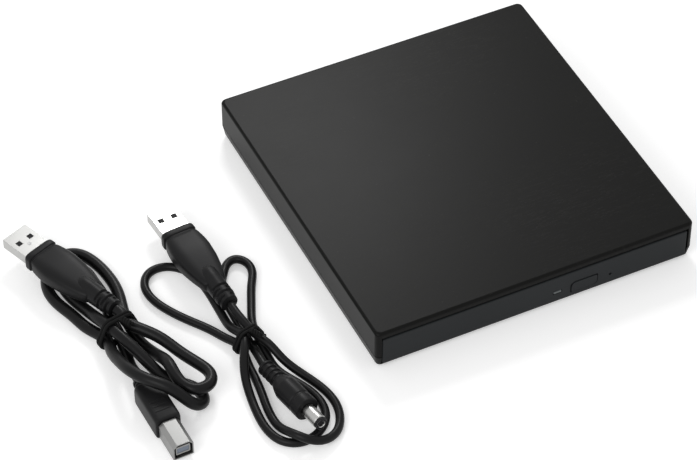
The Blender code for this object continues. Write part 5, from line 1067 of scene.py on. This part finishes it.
@dataclass
class Chips(Maker):
    """Small parts soldered to a board: rows of chip resistors and the legs of a chip."""

    def block(self, name: str, middle: tuple[float, float], size: tuple[float, float, float], base: float,
              surface: Surface) -> bpy.types.Object:
        """One rounded block that stands on the board."""
        low = (middle[0] - size[0] / 2, middle[1] - size[1] / 2, base)
        high = (middle[0] + size[0] / 2, middle[1] + size[1] / 2, base + size[2])
        return self.dress(lattice(name, box_points(low, high, min(size[:2]) / 8)), surface)

    def row(self, name: str, start: tuple[float, float], pitch: float, count: int, base: float) -> None:
        """A row of chip resistors: dark middles between two bright ends, two blocks each."""
        for index in range(count):
            across = start[0] + index * pitch
            middle, label = (across, start[1]), f"{name}_{index + 1}"
            self.block(label, middle, (1.0 * MM, 0.5 * MM, 0.35 * MM), base, Surface.CHIP)
            self.block(f"{label}_ends", middle, (1.5 * MM, 0.42 * MM, 0.28 * MM), base, Surface.BRIGHT)

    def legs(self, name: str, node: str, count: int, base: float) -> None:
        """Bent legs along two sides of a chip's node, each a short flat bar."""
        low, high = (np.array(corner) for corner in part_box(node))
        span = (high - low)[0]
        for side, edge in ((-1, low[1]), (1, high[1])):
            for index in range(count):
                across = low[0] + span * (index + 0.5) / count
                where = "front" if side < 0 else "back"
                self.block(f"{name}_{where}_{index + 1}", (across, edge + side * 0.3 * MM),
                           (0.28 * MM * span / count / (0.6 * MM), 0.6 * MM, 0.16 * MM), base, Surface.BRIGHT)


@dataclass
class RearBay(Maker):
    """The bridge board with its chip, crystal and connector, and the two sockets."""

    body: Body = Body.CASE

    def build(self) -> None:
        """All pieces of the rear bay."""
        self.soften("bridge_board", Surface.BOARD, Edge.SHEET)
        self.soften("drive_connector", Surface.IVORY, Edge.SHEET)
        self.soften("bridge_chip", Surface.CHIP, Edge.SHEET)
        self.soften("crystal_can", Surface.BRIGHT, Edge.MOULDED)
        self.soften("usb_socket", Surface.SHEET, Edge.SHEET, "square_socket")
        self.soften("usb_socket_tongue", Surface.BLACK_AND_SHADE, Edge.SHEET, "square_socket_tongue")
        self.soften("power_jack", Surface.BLACK_AND_SHADE, Edge.MOULDED)
        self.keep("power_jack_pin", Surface.BRIGHT)
        low, high = (np.array(corner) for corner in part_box("bridge_board"))
        small = Chips(Body.CASE)
        small.legs("bridge_leg", "bridge_chip", 8, high[2])
        small.row("bridge_resistor", (low[0] + 4.0 * MM, low[1] + 2.0 * MM), 3.2 * MM, 4, high[2])


@dataclass
class Tray(Maker):
    """The sliding disc tray with its front, lamp, button and electronics."""

    body: Body = Body.TRAY

    def front(self) -> None:
        """The front bar with the eject button and the lamp."""
        self.soften("tray_bezel", Surface.BEZEL, Edge.FRONT, "front_bar")
        Maker(Body.BUTTON).soften("eject_button", Surface.BEZEL, Edge.FRONT, "button")
        self.soften("access_lamp", Surface.LAMP, Edge.SHEET, "lamp")

    def build(self) -> None:
        """All pieces of the tray."""
        self.soften("disc_tray", Surface.TRAY, Edge.MOULDED)
        self.front()
        self.soften("tray_board", Surface.BOARD, Edge.SHEET)
        self.soften("servo_chip", Surface.CHIP, Edge.SHEET)
        self.soften("latch_solenoid", Surface.IVORY, Edge.MOULDED)
        self.soften("eject_switch", Surface.CHIP, Edge.SHEET)
        Maker(Body.LATCH).soften("latch_hook", Surface.BRIGHT, Edge.SHEET)


@dataclass
class Mechanism(Maker):
    """The slanted mechanism: plate, dampers, cover, motors, rods, screw, spindle and sled."""

    body: Body = Body.TRAY
    rod_radius: float = 1.0 * MM
    ring_radii: tuple[float, float] = (9.6 * MM, 13.7 * MM)
    ring_rise: float = 0.1 * MM
    screw_radius: float = 1.2 * MM
    screw_pitch: float = 3.0 * MM

    @staticmethod
    def slanted(node: str, radius: float) -> tuple[tuple[float, ...], float]:
        """Middle and length of a round bar that lies along the sled's travel, from its node's box."""
        low, high = (np.array(corner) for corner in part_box(node))
        length = ((high - low)[0] - 2 * radius * math.sin(math.pi / 4)) / math.cos(math.pi / 4)
        return tuple((low + high) / 2), length

    def rod(self, node: str) -> bpy.types.Object:
        """A ground rod with chamfered ends, along the sled's travel."""
        radius = self.rod_radius
        middle, length = self.slanted(node, radius)
        profile = [(0.1 * MM, -length / 2), (radius * 0.7, -length / 2), (radius, -length / 2 + 0.3 * MM),
                   (radius, length / 2 - 0.3 * MM), (radius * 0.7, length / 2), (0.1 * MM, length / 2)]
        points = upright_to_x(lathe(profile, 32))
        return self.dress(lattice(f"{node}_ground", lay_along(points, middle, MECHANISM_TURN)), Surface.ROD, node)

    def thread(self) -> bpy.types.Object:
        """Lead screw: radius follows a cosine of the angle less the place over the pitch."""
        middle, length = self.slanted("lead_screw", self.screw_radius)
        along = np.linspace(-length / 2, length / 2, 420)[:, None]
        angle = ring_angles(28)[None, :]
        threaded = np.clip((length / 2 - 2.0 * MM - np.abs(along)) / (0.8 * MM), 0.0, 1.0)
        groove = 0.5 + 0.5 * np.cos(angle - math.tau * along / self.screw_pitch)
        radius = self.screw_radius * (0.985 - 0.22 * threaded * groove ** 6)
        points = np.stack([along + 0.0 * angle, radius * np.cos(angle), radius * np.sin(angle)], axis=-1)
        made = lattice("lead_screw_thread", lay_along(points, middle, MECHANISM_TURN))
        return Maker(Body.SCREW).dress(made, Surface.ROD, "lead_screw", smooth=70.0)

    def spindle(self) -> None:
        """Turntable with its rubber ring, and the clamp's spring-loaded claws."""
        turner = Maker(Body.SPINDLE)
        turner.soften("turntable", Surface.TRAY, Edge.SHEET)
        turner.soften("disc_clamp", Surface.BRIGHT, Edge.SHEET)
        low, high = DISC_SEAT - self.ring_rise, DISC_SEAT + self.ring_rise
        inner, outer = self.ring_radii
        ring = [(inner, low), (inner + 0.1 * MM, high), (outer - 0.1 * MM, high), (outer, low)]
        points = lathe(rounded_profile(ring, 0.06 * MM), 72) + np.array([*DISC_CENTRE, 0.0])
        points = np.concatenate([points, points[:1]])
        turner.dress(lattice("turntable_grip_ring", points, capped=False), Surface.RUBBER)

    def build(self) -> None:
        """All pieces of the mechanism."""
        self.soften("mechanism_plate", Surface.SHEET, Edge.SHEET)
        self.soften("mechanism_cover", Surface.SHEET, Edge.SHEET)
        for index in (1, 2, 3):
            self.turned_on(f"damper_{index}", Surface.RUBBER, [
                (0.0, 0.0), (0.92, 0.0), (1.0, 0.12), (0.86, 0.4), (0.86, 0.6), (1.0, 0.88), (0.92, 1.0),
                (0.0, 1.0)])
        self.turned_on("spindle_motor", Surface.SHEET, [
            (0.0, 0.0), (0.96, 0.0), (1.0, 0.15), (1.0, 0.8), (0.95, 1.0), (0.3, 1.0), (0.0, 1.0)])
        self.soften("sled_motor", Surface.SHEET, Edge.MOULDED)
        self.rod("guide_rod_near")
        self.rod("guide_rod_far")
        self.thread()
        self.spindle()
        Maker(Body.SLED).soften("pickup_sled", Surface.TRAY, Edge.MOULDED)
        Maker(Body.LENS).soften("lens_holder", Surface.CHIP, Edge.SHEET)
        Maker(Body.LENS).turned_on("objective_lens", Surface.LENS, [
            (0.0, 0.0), (1.0, 0.0), (1.0, 0.35), (0.85, 0.62), (0.6, 0.85), (0.3, 0.97), (0.0, 1.0)],
            rounding=0.3 * MM)


@dataclass
class Studio:
    """Pale floor, white surround, soft lamps and the camera."""

    floor_size: float = 6.0
    shade: float = 0.92
    floor_glow: float = 0.35
    surround: float = 0.50

    def floor(self) -> bpy.types.Object:
        """A plain pale floor: its own white, raised for the camera so that it meets the surround."""
        half = self.floor_size / 2
        verts = np.array([(-half, -half, 0.0), (half, -half, 0.0), (half, half, 0.0), (-half, half, 0.0)])
        mesh = bpy.data.meshes.new("floor")
        mesh.from_pydata((verts - np.array([0.0, 0.0, 0.0001])).tolist(), [], [[0, 1, 2, 3]])
        made = bpy.data.objects.new("floor", mesh)
        bpy.context.scene.collection.objects.link(made)
        paint = bpy.data.materials.new("pale_floor")
        paint.use_nodes = True
        wires = Wiring(paint.node_tree)
        shader = paint.node_tree.nodes["Principled BSDF"]
        shader.inputs["Base Color"].default_value = (self.shade, self.shade, self.shade, 1.0)
        shader.inputs["Roughness"].default_value = 0.9
        shader.inputs["Specular IOR Level"].default_value = 0.0
        glow, total, seen = (wires.add(kind) for kind in ("ShaderNodeEmission", "ShaderNodeAddShader",
                                                          "ShaderNodeLightPath"))
        glow.inputs["Color"].default_value = (1.0, 1.0, 1.0, 1.0)
        looked = wires.math("MAXIMUM", seen.outputs["Is Camera Ray"], seen.outputs["Is Glossy Ray"])
        wires.join(wires.math("MULTIPLY", looked, self.floor_glow), glow.inputs["Strength"])
        wires.join(shader.outputs[0], total.inputs[0])
        wires.join(glow.outputs[0], total.inputs[1])
        wires.join(total.outputs[0], paint.node_tree.nodes["Material Output"].inputs["Surface"])
        mesh.materials.append(paint)
        return made

    def world(self) -> None:
        """White seen by the camera and in reflections, and an even grey light elsewhere."""
        world = bpy.data.worlds.new("studio")
        bpy.context.scene.world = world
        world.use_nodes = True
        wires = Wiring(world.node_tree)
        background = world.node_tree.nodes["Background"]
        background.inputs["Color"].default_value = (1.0, 1.0, 1.0, 1.0)
        seen = wires.add("ShaderNodeLightPath")
        looked = wires.math("MAXIMUM", seen.outputs["Is Camera Ray"],
                            wires.math("MAXIMUM", seen.outputs["Is Glossy Ray"], seen.outputs["Is Transmission Ray"]))
        wires.join(wires.ramp(looked, 0.0, 1.0, self.surround, 1.0), background.inputs["Strength"])

    def lamp(self, name: str, place: tuple[float, float, float], target: tuple[float, float, float],
             size: float, power: float) -> None:
        """A square soft lamp that faces a target."""
        light = bpy.data.lights.new(name, "AREA")
        light.size, light.energy = size, power
        made = bpy.data.objects.new(name, light)
        bpy.context.scene.collection.objects.link(made)
        back = np.array(place) - np.array(target)
        made.matrix_world = self.looking(np.array(place), back, 0.0)

    @staticmethod
    def looking(place: np.ndarray, back: np.ndarray, roll: float) -> mathutils.Matrix:
        """A matrix at a place whose local +Z points along back, rolled about it."""
        back = back / np.linalg.norm(back)
        side = np.cross(np.array([0.0, 0.0, 1.0]), back)
        side /= np.linalg.norm(side)
        top = np.cross(back, side)
        turned_side = math.cos(roll) * side + math.sin(roll) * top
        turned_top = -math.sin(roll) * side + math.cos(roll) * top
        rows = np.eye(4)
        rows[:3, 0], rows[:3, 1], rows[:3, 2], rows[:3, 3] = turned_side, turned_top, back, place
        return mathutils.Matrix(rows.tolist())

    def camera(self) -> None:
        """The photograph's view."""
        lens = bpy.data.cameras.new("camera")
        lens.lens, lens.sensor_width, lens.sensor_fit = CAMERA_LENS_MM, SENSOR_WIDTH_MM, "HORIZONTAL"
        lens.clip_start, lens.clip_end = 0.01, 20.0
        made = bpy.data.objects.new("camera", lens)
        bpy.context.scene.collection.objects.link(made)
        back = np.array([math.sin(CAMERA_AZIMUTH) * math.cos(CAMERA_ELEVATION),
                         -math.cos(CAMERA_AZIMUTH) * math.cos(CAMERA_ELEVATION), math.sin(CAMERA_ELEVATION)])
        made.matrix_world = self.looking(np.array(CAMERA_PLACE), back, CAMERA_ROLL)
        bpy.context.scene.camera = made

    def build(self) -> None:
        """The whole studio."""
        self.camera()
        self.world()
        self.floor()
        self.lamp("window", (0.12, 0.45, 0.47), (-0.05, 0.03, 0.0), 0.15, 1.35)
        self.lamp("fill", (-0.9, -0.5, 0.7), (0.0, 0.0, 0.0), 0.7, 5.0)
        bpy.context.scene.view_settings.view_transform = "Standard"


def main() -> None:
    """Build the studio, the leads and the drive, and report each piece."""
    logging.basicConfig(level=logging.INFO, format="%(name)s: %(message)s")
    Studio().build()
    data_plugs = [*FlatPlug(Body.CASE).build(), *SquarePlug(Body.CASE).build()]
    Lead(Body.CASE).build(data_plugs)
    power_plugs = [*FlatPlug(Body.CASE, prefix="power", pose=POWER_FLAT_POSE).build(),
                   *BarrelPlug(Body.CASE).build()]
    Lead(Body.CASE, name="power", route=POWER_ROUTE, diameter=3.5 * MM, length=0.515,
         tie_place=(-109.3, -41.0, 5.3), tie_heading=-78.5, tie_wire=1.3 * MM).build(power_plugs)
    Case().build()
    Chassis().build()
    RearBay().build()
    Tray().build()
    Mechanism().build()


if __name__ == "__main__":
    main()
